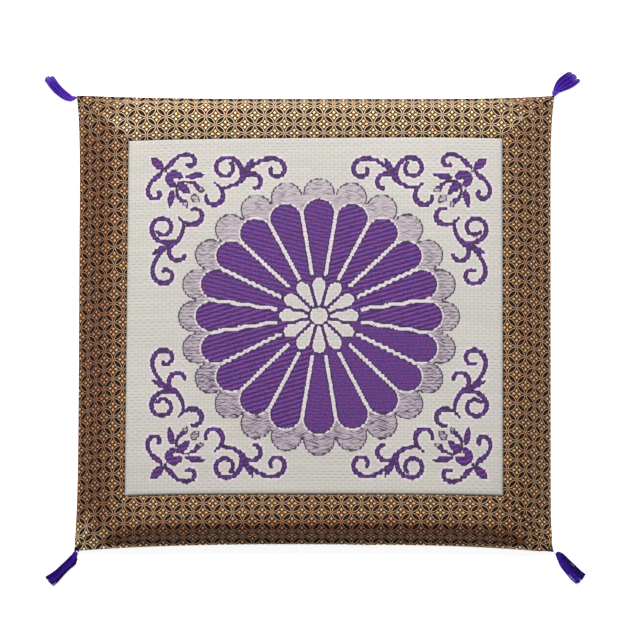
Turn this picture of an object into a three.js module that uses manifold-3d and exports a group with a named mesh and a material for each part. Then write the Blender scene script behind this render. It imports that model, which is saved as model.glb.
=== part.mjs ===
// Zabuton: a square floor cushion with a woven rush face, a mitred brocade border
// and a tassel at each corner. Millimetres, +Z up, front edge towards -Y.
// The origin is the middle of the flat underside.

import * as THREE from 'three';
import { mergeVertices } from 'three/addons/utils/BufferGeometryUtils.js';
import Module from 'manifold-3d';

const wasm = await Module();
wasm.setup();

// Plan of the seam: each corner as it was sewn, a few millimetres off a true square.
const SEAM_CORNERS = {
  frontLeft: { x: -351, y: -348 },
  frontRight: { x: 349.5, y: -352 },
  backRight: { x: 350.5, y: 350.5 },
  backLeft: { x: -348.5, y: 349.5 },
};

// Plan of the rush panel's corners.
const PANEL_CORNERS = {
  frontLeft: { x: -278.5, y: -274.5 },
  frontRight: { x: 274.5, y: -274.5 },
  backRight: { x: 274.5, y: 276 },
  backLeft: { x: -274, y: 272 },
};

// The four sides in turn, with how far the filling draws each seam in at its middle.
const SIDES = [
  { name: 'front', from: 'frontLeft', to: 'frontRight', drawIn: 8.8 },
  { name: 'right', from: 'frontRight', to: 'backRight', drawIn: 4.4 },
  { name: 'back', from: 'backRight', to: 'backLeft', drawIn: 9.2 },
  { name: 'left', from: 'backLeft', to: 'frontLeft', drawIn: 4.2 },
];
const DRAW_IN_POWER = 3.2;

// Heights of the filled body's top.
const SEAM_HEIGHT = 17.3;
const CORNER_DROP = 9;
const CORNER_DROP_POWER = 3.6;
const CROWN_HEIGHT = 54.5;

// The border's section, from the seam in to the rush panel: the lip at the seam, the slope,
// the shoulder and the ditch where the two cloths meet. riseCorner is the flatter section
// on the diagonal, where little filling reaches the ear.
const BORDER_SECTION = [
  { inward: 0, riseSide: 0, riseCorner: 0 },
  { inward: 5, riseSide: 1, riseCorner: 0.8 },
  { inward: 10, riseSide: 7, riseCorner: 2.6 },
  { inward: 17, riseSide: 14.5, riseCorner: 6.4 },
  { inward: 27, riseSide: 21, riseCorner: 12.4 },
  { inward: 40, riseSide: 25.2, riseCorner: 19.6 },
  { inward: 54, riseSide: 27.4, riseCorner: 25.2 },
  { inward: 64, riseSide: 28, riseCorner: 27.6 },
  { inward: 71, riseSide: 25.6, riseCorner: 25.4 },
];
const BORDER_WIDTH = 71;
const SHOULDER_RISE = 28;
const CORNER_BLEND_FROM = 0.72;

// The underside's section: how much of the seam's height is left, going in from the seam.
const UNDER_SECTION = [
  { inward: 0, share: 1 },
  { inward: 8, share: 0.62 },
  { inward: 18, share: 0.3 },
  { inward: 32, share: 0.08 },
  { inward: 46, share: 0 },
];
const RIM_THICKNESS = 2;

// Soft puckers across the border near its ends. at runs from -1 to 1 along the side.
const PUCKERS = [
  { side: 'front', at: -0.93, width: 10, height: 1.8 },
  { side: 'front', at: -0.82, width: 13, height: 1.1 },
  { side: 'front', at: 0.95, width: 9, height: 1.9 },
  { side: 'front', at: 0.85, width: 13, height: 1 },
  { side: 'right', at: -0.94, width: 10, height: 1.4 },
  { side: 'right', at: 0.92, width: 11, height: 1.6 },
  { side: 'back', at: -0.91, width: 11, height: 2.2 },
  { side: 'back', at: -0.79, width: 14, height: 1.3 },
  { side: 'back', at: 0.93, width: 10, height: 2.4 },
  { side: 'back', at: 0.81, width: 13, height: 1.4 },
  { side: 'left', at: -0.94, width: 10, height: 1.7 },
  { side: 'left', at: 0.92, width: 11, height: 1.2 },
];
const PUCKER_PEAK = 0.72;
const MITRE_CLEAR = 0.03;

// Cloth and the gaps between pieces that lie on or beside each other.
const RUSH_THICKNESS = 2;
const BROCADE_THICKNESS = 1.2;
const LAY_GAP = 0.5;
const BUTT_GAP = 0.25;
const LEAST_LEVELNESS = 0.6;
const ROUNDING = 1e-9;
const WELD_DISTANCE = 1e-3;

// Steps along a side and across the panel, closer together towards the corners.
const STEPS = 22;
const END_CROWDING = 0.3;

// Tassels: plan heading of the bundle at its neck and at its end, in degrees from +X.
// The threads at the back catch the light, and those at the front look darker.
const FRONT_THREAD_COLOUR = 0x2a0a86;
const BACK_THREAD_COLOUR = 0x4a1ab0;
const TASSELS = [
  { name: 'tassel_front_left', corner: 'frontLeft', startWay: 250, endWay: 220, length: 59, endWidth: 17 },
  { name: 'tassel_front_right', corner: 'frontRight', startWay: 302, endWay: 320, length: 52, endWidth: 16 },
  { name: 'tassel_back_right', corner: 'backRight', startWay: 62, endWay: 34, length: 48, endWidth: 22 },
  { name: 'tassel_back_left', corner: 'backLeft', startWay: 192, endWay: 108, length: 57, endWidth: 15 },
];

// The bound neck and the head that the strands are fused into, along the bundle.
const HEAD_SECTION = [
  { along: 0, halfWidth: 1.5, halfHeight: 1.5 },
  { along: 1.2, halfWidth: 2.3, halfHeight: 2.3 },
  { along: 5.5, halfWidth: 2.4, halfHeight: 2.4 },
  { along: 7.5, halfWidth: 3.6, halfHeight: 2.9 },
  { along: 10, halfWidth: 5.8, halfHeight: 3.4 },
  { along: 12, halfWidth: 6.8, halfHeight: 3.6 },
  { along: 13.5, halfWidth: 6.6, halfHeight: 3.5 },
];
const HEAD_SIDES = 14;
const NECK_CLEARANCE = 0.6;
const STRAND_RADIUS = 0.85;
const STRAND_STEPS = 6;
const STRAND_PITCH = 1.8;
const LAYER_PITCH = 1.66;
const STRANDS_PER_LAYER = [6, 7, 7, 6];
const STRAND_UNEVENNESS = 2.2;
const ROOT_DEPTH = 1.4;

const RUSH_COLOUR = 0xded9cb;
const BROCADE_COLOUR = 0x8a6238;
const BACK_CLOTH_COLOUR = 0x3a3150;

const lerp = THREE.MathUtils.lerp;
const smoothstep = THREE.MathUtils.smoothstep;

// Reads a column of a section table at a distance in from the seam.
function readSection(section, column, inward) {
  let row = 0;
  while (row < section.length - 2 && inward > section[row + 1].inward) {
    row += 1;
  }
  const [outer, inner] = [section[row], section[row + 1]];
  const f = (inward - outer.inward) / (inner.inward - outer.inward);
  return lerp(outer[column], inner[column], f);
}

// Position from -1 to 1 along a side for step i of STEPS.
function sideStep(i) {
  const s = 2 * i / STEPS - 1;
  return s * (1 + END_CROWDING) - END_CROWDING * s ** 3;
}

function cornerDrop(t) {
  return CORNER_DROP * Math.abs(t) ** CORNER_DROP_POWER;
}

function between(from, to, t) {
  const f = (t + 1) / 2;
  return { x: lerp(from.x, to.x, f), y: lerp(from.y, to.y, f) };
}

function seamPoint(side, t) {
  const from = SEAM_CORNERS[side.from];
  const to = SEAM_CORNERS[side.to];
  const point = between(from, to, t);
  const length = Math.hypot(to.x - from.x, to.y - from.y);
  const drawn = side.drawIn * (1 - Math.abs(t) ** DRAW_IN_POWER);
  point.x -= drawn * (to.y - from.y) / length;
  point.y += drawn * (to.x - from.x) / length;
  return point;
}

function puckerHeight(side, t, inward) {
  const f = 1 - inward / BORDER_WIDTH;
  const fade = f < PUCKER_PEAK ? f / PUCKER_PEAK : (1 - f) / (1 - PUCKER_PEAK);
  const halfSide = SEAM_CORNERS.backRight.x;
  let height = 0;
  for (const pucker of PUCKERS) {
    if (pucker.side === side.name) {
      const away = (t - pucker.at) * halfSide / pucker.width;
      height += pucker.height * Math.exp(-away * away);
    }
  }
  return height * smoothstep(fade, 0, 1) * smoothstep(1 - Math.abs(t), 0, MITRE_CLEAR);
}

// A point of the border in plan, and the height of the filled body's top there.
function borderPoint(side, t, inward) {
  const seam = seamPoint(side, t);
  const panel = between(PANEL_CORNERS[side.from], PANEL_CORNERS[side.to], t);
  const f = inward / BORDER_WIDTH;
  const atCorner = smoothstep(Math.abs(t), CORNER_BLEND_FROM, 1);
  const rise = lerp(
    readSection(BORDER_SECTION, 'riseSide', inward),
    readSection(BORDER_SECTION, 'riseCorner', inward),
    atCorner,
  );
  return new THREE.Vector3(
    lerp(seam.x, panel.x, f),
    lerp(seam.y, panel.y, f),
    SEAM_HEIGHT - cornerDrop(t) + rise + puckerHeight(side, t, inward),
  );
}

// A point of the rush panel's bed. The ditch runs round its edge.
function panelPoint(a, b) {
  const front = between(PANEL_CORNERS.frontLeft, PANEL_CORNERS.frontRight, a);
  const back = between(PANEL_CORNERS.backLeft, PANEL_CORNERS.backRight, a);
  const plan = between(front, back, b);
  const edge = SEAM_HEIGHT + SHOULDER_RISE - cornerDrop(a * b);
  const crown = (CROWN_HEIGHT - SEAM_HEIGHT - SHOULDER_RISE) * (1 - a * a) * (1 - b * b);
  const edgeRow = BORDER_SECTION[BORDER_SECTION.length - 1];
  const onEdge = Math.max(Math.abs(a), Math.abs(b)) > 1 - ROUNDING;
  const cornerWay = smoothstep(Math.min(Math.abs(a), Math.abs(b)), CORNER_BLEND_FROM, 1);
  const edgeRise = lerp(edgeRow.riseSide, edgeRow.riseCorner, cornerWay);
  const ditch = onEdge ? SHOULDER_RISE - edgeRise : 0;
  return new THREE.Vector3(plan.x, plan.y, edge + crown - ditch);
}

// Collects triangles, four-cornered faces and whole grids, then joins them into one solid.
class Faces {
  constructor() {
    this.corners = [];
  }

  triangle(a, b, c) {
    this.corners.push(a.x, a.y, a.z, b.x, b.y, b.z, c.x, c.y, c.z);
  }

  quad(a, b, c, d) {
    this.triangle(a, b, c);
    this.triangle(a, c, d);
  }

  // rows[j][i], seen with i to the right and j upwards from outside.
  grid(rows, flipped = false) {
    for (let j = 0; j + 1 < rows.length; j += 1) {
      for (let i = 0; i + 1 < rows[j].length; i += 1) {
        const [a, b] = [rows[j][i], rows[j][i + 1]];
        const [c, d] = [rows[j + 1][i + 1], rows[j + 1][i]];
        if (flipped) {
          this.quad(a, d, c, b);
        } else {
          this.quad(a, b, c, d);
        }
      }
    }
  }

  geometry() {
    const soup = new THREE.BufferGeometry();
    soup.setAttribute('position', new THREE.Float32BufferAttribute(this.corners, 3));
    const solid = mergeVertices(soup, WELD_DISTANCE);
    solid.computeVertexNormals();
    return solid;
  }
}

const steps = Array.from({ length: STEPS + 1 }, (_, i) => sideStep(i));
const ringDistances = BORDER_SECTION.map((row) => row.inward);

function raised(point, height) {
  return new THREE.Vector3(point.x, point.y, point.z + height);
}

// How much higher a layer of a given thickness stands over a slope, at row j and column i.
function slopeFactor(rows, j, i) {
  const left = rows[j][Math.max(i - 1, 0)];
  const right = rows[j][Math.min(i + 1, rows[j].length - 1)];
  const below = rows[Math.max(j - 1, 0)][i];
  const above = rows[Math.min(j + 1, rows.length - 1)][i];
  const normal = right.clone().sub(left).cross(above.clone().sub(below)).normalize();
  return 1 / Math.max(normal.z, LEAST_LEVELNESS);
}

// A sheet of cloth lying on the grid of bed points, LAY_GAP above it.
function sheetOn(bed, thickness) {
  const layer = (height) => bed.map((row, j) => row.map(
    (point, i) => raised(point, height * slopeFactor(bed, j, i)),
  ));
  const under = layer(LAY_GAP);
  const over = layer(LAY_GAP + thickness);
  const column = (rows, i) => rows.map((row) => row[i]);
  const lastRow = bed.length - 1;
  const lastColumn = bed[0].length - 1;
  const faces = new Faces();
  faces.grid(over);
  faces.grid(under, true);
  faces.grid([under[0], over[0]]);
  faces.grid([under[lastRow], over[lastRow]], true);
  faces.grid([column(under, 0), column(over, 0)], true);
  faces.grid([column(under, lastColumn), column(over, lastColumn)]);
  return faces.geometry();
}

function cushionBody() {
  const faces = new Faces();
  faces.grid(steps.map((b) => steps.map((a) => panelPoint(a, b))));
  const floorOutline = [];
  for (const side of SIDES) {
    faces.grid(ringDistances.map((inward) => steps.map((t) => borderPoint(side, t, inward))));
    const under = UNDER_SECTION.map((row) => steps.map((t) => {
      const point = borderPoint(side, t, row.inward);
      const rimHeight = SEAM_HEIGHT - cornerDrop(t) - RIM_THICKNESS;
      point.z = rimHeight * row.share;
      return point;
    }));
    faces.grid(under, true);
    faces.grid([under[0], steps.map((t) => borderPoint(side, t, 0))]);
    floorOutline.push(...under[under.length - 1].slice(0, STEPS));
  }
  const flat = floorOutline.map((point) => new THREE.Vector2(point.x, point.y));
  for (const [a, b, c] of THREE.ShapeUtils.triangulateShape(flat, [])) {
    faces.triangle(floorOutline[a], floorOutline[c], floorOutline[b]);
  }
  return faces.geometry();
}

function rushPanel() {
  const halfSide = PANEL_CORNERS.frontRight.x;
  const reach = 1 - BUTT_GAP / halfSide;
  const bed = steps.map((b) => steps.map((a) => {
    const point = panelPoint(a, b);
    point.x *= reach;
    point.y *= reach;
    return point;
  }));
  return sheetOn(bed, RUSH_THICKNESS);
}

function borderStrip(side) {
  const reach = 1 - BUTT_GAP * Math.SQRT2 / PANEL_CORNERS.frontRight.x;
  const stripDistances = ringDistances.map((inward) => Math.min(inward, BORDER_WIDTH - BUTT_GAP));
  const bed = stripDistances.map((inward) => steps.map((t) => borderPoint(side, t * reach, inward)));
  return sheetOn(bed, BROCADE_THICKNESS);
}

function asManifold(geometry) {
  const bare = geometry.clone();
  bare.deleteAttribute('normal');
  const merged = mergeVertices(bare, WELD_DISTANCE);
  return new wasm.Manifold(new wasm.Mesh({
    numProp: 3,
    vertProperties: new Float32Array(merged.attributes.position.array),
    triVerts: new Uint32Array(merged.index.array),
  }));
}

function fromManifold(solid) {
  const mesh = solid.getMesh();
  const geometry = new THREE.BufferGeometry();
  geometry.setAttribute('position', new THREE.Float32BufferAttribute(mesh.vertProperties, 3));
  geometry.setIndex(Array.from(mesh.triVerts));
  geometry.computeVertexNormals();
  return geometry;
}

// The tassel's plan curve: an arc that turns evenly from startWay to endWay.
function tasselCurve(tassel) {
  const corner = SEAM_CORNERS[tassel.corner];
  const start = THREE.MathUtils.degToRad(tassel.startWay);
  const turn = THREE.MathUtils.degToRad(tassel.endWay - tassel.startWay) / tassel.length;
  return (along) => {
    const way = start + turn * along;
    const beyond = NECK_CLEARANCE;
    return {
      x: corner.x + beyond * Math.cos(start) + (Math.sin(way) - Math.sin(start)) / turn,
      y: corner.y + beyond * Math.sin(start) - (Math.cos(way) - Math.cos(start)) / turn,
      sideX: -Math.sin(way),
      sideY: Math.cos(way),
    };
  };
}

// A closed tube through rings of equal length, each seen turning left about the way it runs.
function tube(rings) {
  const faces = new Faces();
  faces.grid(rings.map((ring) => [...ring, ring[0]]), true);
  const first = rings[0];
  const last = rings[rings.length - 1];
  for (let i = 1; i + 1 < first.length; i += 1) {
    faces.triangle(first[0], first[i], first[i + 1]);
    faces.triangle(last[0], last[i + 1], last[i]);
  }
  return faces.geometry();
}

function tasselHead(curve) {
  const neckHeight = SEAM_HEIGHT - CORNER_DROP;
  const reach = HEAD_SECTION[HEAD_SECTION.length - 1].along;
  return tube(HEAD_SECTION.map((row) => {
    const middle = curve(row.along);
    const height = lerp(neckHeight, row.halfHeight, smoothstep(row.along, 0, reach));
    return Array.from({ length: HEAD_SIDES }, (_, i) => {
      const angle = 2 * Math.PI * (i + 0.5) / HEAD_SIDES;
      const squared = (Math.cos(angle) ** 4 + Math.sin(angle) ** 4) ** -0.25;
      const across = row.halfWidth * squared * Math.cos(angle);
      const up = row.halfHeight * squared * Math.sin(angle);
      return new THREE.Vector3(
        middle.x - middle.sideX * across,
        middle.y - middle.sideY * across,
        height + up,
      );
    });
  }));
}

// One strand: a three-sided thread with a flat side down, from inside the head to its end.
function strand(curve, tassel, layer, share, count) {
  const rootAt = HEAD_SECTION[HEAD_SECTION.length - 1].along - ROOT_DEPTH;
  const rootWidth = STRAND_PITCH * (count - 1);
  const widening = tassel.endWidth / (STRAND_PITCH * Math.max(...STRANDS_PER_LAYER));
  const endWidth = rootWidth * Math.max(widening, 1);
  const end = tassel.length - STRAND_UNEVENNESS * Math.abs(Math.sin(7 * layer + 12 * share));
  const base = layer * LAYER_PITCH;
  const halfBase = STRAND_RADIUS * Math.cos(Math.PI / 6);
  const ridge = STRAND_RADIUS * 1.5;
  const rings = [];
  for (let k = 0; k <= STRAND_STEPS; k += 1) {
    const f = k / STRAND_STEPS;
    const middle = curve(lerp(rootAt, end, f));
    const offset = share * lerp(rootWidth, endWidth, smoothstep(f, 0, 1)) / 2;
    const at = (across, up) => new THREE.Vector3(
      middle.x + middle.sideX * (offset + across),
      middle.y + middle.sideY * (offset + across),
      base + up,
    );
    rings.push([at(halfBase, 0), at(-halfBase, 0), at(0, ridge)]);
  }
  return tube(rings);
}

function tasselSolid(tassel) {
  const curve = tasselCurve(tassel);
  let solid = asManifold(tasselHead(curve));
  STRANDS_PER_LAYER.forEach((count, layer) => {
    for (let i = 0; i < count; i += 1) {
      const share = 2 * i / (count - 1) - 1;
      solid = solid.add(asManifold(strand(curve, tassel, layer, share, count)));
    }
  });
  return fromManifold(solid);
}

function piece(name, geometry, colour, roughness) {
  const material = new THREE.MeshStandardMaterial({ color: colour, roughness, metalness: 0 });
  const mesh = new THREE.Mesh(geometry, material);
  mesh.name = name;
  return mesh;
}

const zabuton = new THREE.Group();
zabuton.add(piece('cushion_body', cushionBody(), BACK_CLOTH_COLOUR, 0.9));
zabuton.add(piece('rush_panel', rushPanel(), RUSH_COLOUR, 0.75));
for (const side of SIDES) {
  zabuton.add(piece(`border_${side.name}`, borderStrip(side), BROCADE_COLOUR, 0.6));
}
for (const tassel of TASSELS) {
  const colour = tassel.corner.startsWith('front') ? FRONT_THREAD_COLOUR : BACK_THREAD_COLOUR;
  zabuton.add(piece(tassel.name, tasselSolid(tassel), colour, 0.5));
}

export default zabuton;
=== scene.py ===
"""A zabuton floor cushion: woven rush face, mitred brocade border, plain back and corner tassels.

Laid out as a Blender add-on and run as a script. Tables give shapes in millimetres and MM turns
them into metres; the settings that a user would change are properties, in metres and colours.
"""

import math

import bmesh
import bpy
import numpy as np
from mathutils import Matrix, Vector


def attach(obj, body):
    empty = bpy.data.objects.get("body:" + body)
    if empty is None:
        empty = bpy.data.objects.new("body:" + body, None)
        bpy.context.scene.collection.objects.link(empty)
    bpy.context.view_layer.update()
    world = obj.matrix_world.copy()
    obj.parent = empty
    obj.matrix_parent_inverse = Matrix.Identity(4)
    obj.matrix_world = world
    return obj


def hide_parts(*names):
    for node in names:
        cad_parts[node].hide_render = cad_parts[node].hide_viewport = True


bl_info = {
    "name": "Zabuton floor cushion",
    "version": (1, 0, 0),
    "blender": (4, 5, 0),
    "location": "3D View > Sidebar > Zabuton",
    "description": "Builds a floor cushion with a rush face, a brocade border and tassels",
    "category": "Add Mesh",
}

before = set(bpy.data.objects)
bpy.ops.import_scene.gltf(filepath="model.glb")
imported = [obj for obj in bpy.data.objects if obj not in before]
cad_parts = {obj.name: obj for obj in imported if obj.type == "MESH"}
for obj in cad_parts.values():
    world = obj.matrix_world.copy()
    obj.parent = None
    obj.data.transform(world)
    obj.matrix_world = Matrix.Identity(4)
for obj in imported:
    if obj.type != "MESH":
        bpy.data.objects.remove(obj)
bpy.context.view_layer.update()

MM = 0.001
BODY = "root"
WHITE = (1.0, 1.0, 1.0, 1.0)


def table(columns, *rows):
    """Rows with named columns."""
    return [dict(zip(columns.split(), row)) for row in rows]


# Plan of the seam and of the rush panel: each corner as it was sewn.
SEAM_CORNERS = {
    "front_left": (-351.6, -349.0),
    "front_right": (349.2, -352.0),
    "back_right": (350.5, 350.5),
    "back_left": (-349.7, 351.0),
}
PANEL_CORNERS = {
    "front_left": (-278.5, -274.5),
    "front_right": (274.5, -274.5),
    "back_right": (274.5, 276.0),
    "back_left": (-274.0, 272.0),
}
HALF_SEAM = SEAM_CORNERS["back_right"][0]
HALF_PANEL = PANEL_CORNERS["back_right"][0]

# The four sides in turn. powers says how near its start and its end the seam flares out, and rise
# names the section. flat is the cut strip's length and width in metres, and area what is left of
# it when mitred. along and outward are plan directions; the phases place the brocade's circles,
# in steps of half a repeat.
SIDES = table(
    "name start end draw_in powers rise flat area along outward along_phase across_phase",
    ("front", "front_left", "front_right", 8.8, (2.2, 3.2), "rise_front", (0.71, 0.086), 0.055,
     (1, 0), (0, -1), 1.36, -0.04),
    ("right", "front_right", "back_right", 6.1, (16.0, 9.0), "rise_side", (0.71, 0.080), 0.050,
     (0, 1), (1, 0), 1.27, -0.475),
    ("back", "back_right", "back_left", 8.2, (4.4, 3.2), "rise_front", (0.71, 0.086), 0.055,
     (-1, 0), (0, 1), -0.13, -0.52),
    ("left", "back_left", "front_left", 5.3, (8.0, 5.2), "rise_side", (0.71, 0.080), 0.050,
     (0, -1), (-1, 0), 1.3, -0.38),
)

# Heights of the filled body's top.
SEAM_HEIGHT = 17.3
CORNER_DROP = 9.0
CORNER_DROP_POWER = 3.6
CROWN_RISE = 9.2
SHOULDER_RISE = 28.0

# The border's section from the seam in to the rush panel: a flat lip and a steep wall at the
# front and back, rounder at the left and right, and gentle on the mitre.
BORDER_WIDTH = 71.0
BORDER_SECTION = table(
    "inward rise_front rise_side rise_corner",
    (0.0, 0.0, 0.0, 0.0),
    (4.0, 0.8, 0.9, 0.6),
    (8.0, 6.0, 2.8, 1.8),
    (11.0, 14.0, 4.8, 3.0),
    (14.0, 20.5, 7.0, 4.6),
    (18.0, 24.5, 9.8, 7.0),
    (24.0, 26.8, 14.0, 10.5),
    (34.0, 27.8, 19.4, 16.4),
    (54.0, 28.0, 26.6, 25.2),
    (64.0, 28.0, 28.0, 27.6),
    (BORDER_WIDTH, 25.6, 25.6, 25.4),
)
CORNER_BLEND_FROM = 0.72

# Painted light and shade on the brocade's colour on each side, going in from the seam: darker where the
# cloth turns down away from the light, brighter where it faces it.
PAINTED_LIGHT_SECTION = table(
    "inward front right back left",
    (0.0, 1.5, 0.84, 1.0, 0.72),
    (3.5, 1.2, 0.84, 1.1, 0.70),
    (6.0, 0.55, 0.83, 1.25, 0.68),
    (16.0, 0.48, 0.82, 1.4, 0.62),
    (24.0, 0.66, 0.79, 1.42, 0.56),
    (40.0, 0.86, 0.79, 1.36, 0.64),
    (54.0, 0.88, 0.84, 1.28, 0.80),
    (BORDER_WIDTH, 0.94, 0.85, 1.28, 0.84),
)
# At the corners the cloth lies flatter, so near the seam the two strips share one level of painted light
# and shade. along and inward say from where to where it changes.
CORNER_PAINTED_LIGHT = {
    "front_left": {"lustre": 1.22, "along": (0.86, 0.95), "inward": (34.0, 12.0)},
    "front_right": {"lustre": 1.0, "along": (0.86, 0.95), "inward": (34.0, 12.0)},
    "back_right": {"lustre": 0.88, "along": (0.76, 0.96), "inward": (50.0, 15.0)},
    "back_left": {"lustre": 0.82, "along": (0.76, 0.96), "inward": (50.0, 15.0)},
}

# The underside's section: the share of the seam's height that is left, going in.
UNDER_SECTION = table(
    "inward share", (0.0, 1.0), (8.0, 0.62), (18.0, 0.3), (32.0, 0.08), (46.0, 0.0))
RIM_THICKNESS = 2.0

# Soft puckers across the border near its ends. at runs from -1 to 1 along the side.
PUCKERS = table(
    "side at width height",
    ("front", -0.93, 10.0, 1.8),
    ("front", -0.82, 13.0, 1.1),
    ("front", 0.95, 9.0, 1.9),
    ("front", 0.85, 13.0, 1.0),
    ("right", -0.94, 10.0, 1.4),
    ("right", 0.92, 11.0, 1.6),
    ("back", -0.91, 11.0, 2.2),
    ("back", -0.79, 14.0, 1.3),
    ("back", 0.93, 10.0, 2.4),
    ("back", 0.81, 13.0, 1.4),
    ("left", -0.94, 10.0, 1.7),
    ("left", 0.92, 11.0, 1.2),
)
PUCKER_PEAK = 0.72
MITRE_CLEAR = 0.03

# How the cloths lie on the body and turn under at their edges.
LAY_GAP = 0.5
RUSH_THICKNESS = 2.0
BROCADE_THICKNESS = 1.2
BUTT_GAP = 0.25
TUCK = 1.0
LEAST_LEVELNESS = 0.6
EDGE_ROUNDING = 2.2
EDGE_FALL = 0.8

# Woven design, in millimetres from the flower's middle.
FLOWER_MIDDLE = (5.3, -3.7)
CHART_COLUMNS = 240
CHART_ROWS = 345
ROWS_PER_COURSE = 3
COURSE_STEPPING = 0.55
DEPTH_LIMIT = 5.0

# Rings of petals: each fills its even share of the turn, less the lines between petals, and its
# end is rounded.
OUTER_PETALS = {"count": 20, "start": 62.0, "end": 180.5, "line": 5.2, "round": 22.5}
INNER_PETALS = {"count": 12, "start": 16.0, "end": 58.0, "line": 5.0, "round": 13.0}
FLOWER_EYE = 12.8
SCALLOPS = {"count": 24, "centre": 189.5, "radius": 23.8, "narrowed": 0.967}
HAZE_START = 164.0
PETAL_CLEAR = 2.3

# Twill of the dyed rush, going clockwise round the flower from its top: the rise of its ribs in
# the petals up to each angle, and how strongly they stand out.
TWILL = table(
    "until rise strength",
    (9.0, -0.28, 0.5),
    (99.0, 0.30, 1.0),
    (171.0, 0.05, 0.12),
    (189.0, -0.29, 0.2),
    (279.0, 0.30, 1.0),
    (351.0, -0.29, 0.65),
    (360.0, -0.28, 0.5),
)
SPRAY_TWILL = {"rise": 0.30, "strength": 0.6}

# The corner spray, drawn once in its own frame and set in all four corners: u runs out along
# the corner's diagonal and v across it. way is the heading in degrees from u, and curl is how
# late a tendril's turning comes. Rows marked pair are mirrored across the diagonal.
SPRAY_MIDDLE = (215.0, 216.0)
TENDRILS = table(
    "u v way length turn curl widths pair",
    (17, 3, 88, 72, 270, 2.8, (4.5, 6.5, 7.0), True),
    (-50, 37, 170, 68, 255, 1.5, (3.0, 9.0, 5.0), True),
    (-62, 38, 138, 38, -52, 1.0, (4.5, 6.5, 7.5), True),
    (-73, 68, 92, 54, 215, 1.5, (6.5, 7.5, 6.5), True),
    (-73, 72, 45, 116, -410, 1.5, (7.5, 7.0, 6.0), True),
    (-71, 80, 92, 112, 345, 2.3, (5.0, 7.5, 6.0), True),
    (-8, 8, 20, 31, -220, 1.0, (10.0, 14.0, 10.0), False),
    (-13, 3, 130, 30, 75, 2.0, (3.0, 4.5, 7.5), True),
    (20, 0, 180, 7, 0, 1.0, (3.5, 3.5, 3.5), False),
)
LEAVES = table(
    "tip base width pair",
    ((44, 0), (19, 0), 14, False),
    ((18, 28), (15, 5), 9, True),
    ((-32, 38), (-14, 13), 10, True),
    ((-63, 106), (-71, 79), 9, True),
    ((-38, 0), (-11, 0), 13, False),
)
PALE_LEAVES = table(
    "tip base width pair", ((-57, 0), (-40, 0), 12, False), ((-50, 18), (-35, 13), 9, True))

# A leaf's widest place leans to its base, and its sides are full. Nearer to a pale leaf than
# OWN_EDGE, the outline is the leaf's and not the scalloped ring's.
LEAF_LEAN = 0.8
LEAF_FULLNESS = 0.8
OWN_EDGE = 1.0

# Tassels. middle is the bundle's middle in plan from its neck to its end, with half its width and half
# its height. front says whether the threads take the silk painted in shade or the one painted lit, and
# loop that its hanging loop shows.
TASSELS = table(
    "name front notch loop middle",
    ("tassel_front_left", True, "straight", True, [
        (-349.2, -350.9, 3.2, 2.2), (-351.6, -355.6, 3.8, 2.8), (-354.6, -362.7, 7.8, 3.8),
        (-361.6, -369.7, 7.2, 4.0), (-372.1, -379.9, 7.5, 3.8), (-382.7, -389.7, 9.0, 3.4),
        (-389.7, -395.1, 9.6, 3.0)]),
    ("tassel_front_right", True, "bulge", False, [
        (351.4, -352.6, 3.0, 2.0), (354.9, -354.6, 4.6, 2.8), (359.6, -359.4, 7.2, 4.0),
        (365.2, -367.8, 9.0, 4.2), (372.2, -375.4, 9.6, 4.0), (382.0, -385.6, 10.6, 3.6),
        (389.4, -392.3, 11.2, 3.2)]),
    ("tassel_back_right", False, "lobes", False, [
        (349.2, 350.4, 1.5, 2.0), (353.3, 359.8, 5.4, 3.4), (359.4, 366.6, 9.2, 4.2),
        (366.5, 372.8, 11.6, 4.0), (374.3, 378.4, 12.2, 3.6), (384.2, 385.4, 11.8, 3.2)]),
    ("tassel_back_left", False, "cleft", False, [
        (-349.8, 348.6, 1.5, 2.2), (-357.0, 347.4, 3.7, 3.2), (-364.0, 351.0, 6.6, 4.0),
        (-371.7, 356.8, 7.0, 3.8), (-381.6, 366.7, 7.2, 3.6), (-393.6, 384.6, 8.8, 3.0)]),
)
# The cut end of a tassel: how much longer it is at places from -1 to 1 across it.
NOTCHES = {
    "straight": [(-1.0, 0.0), (1.0, -0.6)],
    "bulge": [(-1.0, -0.6), (-0.4, 0.0), (0.5, -0.2), (1.0, -1.2)],
    "cleft": [(-1.0, -5.4), (-0.9, -5.2), (-0.35, -3.6), (0.0, 0.0), (0.5, -1.0), (0.9, -2.4),
              (1.0, -3.6)],
    "lobes": [(-1.0, -1.4), (-0.88, 0.0), (-0.56, -0.4), (-0.46, -6.0), (-0.36, -1.6),
              (0.28, -0.6), (0.4, -4.2), (0.6, -3.0), (0.9, -5.4), (1.0, -9.0)],
}


def lerp(start, end, share):
    return start + (end - start) * share


def smoothstep(value, low, high):
    share = np.clip((value - low) / (high - low), 0, 1)
    return share * share * (3 - 2 * share)


def smooth_curve(xs, ys, value):
    """Smooth curve through points that never overshoots them, read at some places."""
    xs = np.array(xs, float)
    ys = np.array(ys, float)
    widths = np.diff(xs)
    slopes = np.diff(ys) / widths
    before, after = slopes[:-1], slopes[1:]
    total = np.where(before * after > 0, before + after, 1)
    inner = np.where(before * after > 0, 2 * before * after / total, 0)
    tangents = np.concatenate([slopes[:1], inner, slopes[-1:]])
    value = np.clip(value, xs[0], xs[-1])
    i = np.clip(np.searchsorted(xs, value, side="right") - 1, 0, len(widths) - 1)
    f = (value - xs[i]) / widths[i]
    g = 1 - f
    return (
        ys[i] * (1 + 2 * f) * g * g
        + tangents[i] * widths[i] * f * g * g
        + ys[i + 1] * (3 - 2 * f) * f * f
        - tangents[i + 1] * widths[i] * f * f * g
    )


def read_section(rows, column, inward):
    return smooth_curve([row["inward"] for row in rows], [row[column] for row in rows], inward)


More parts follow.
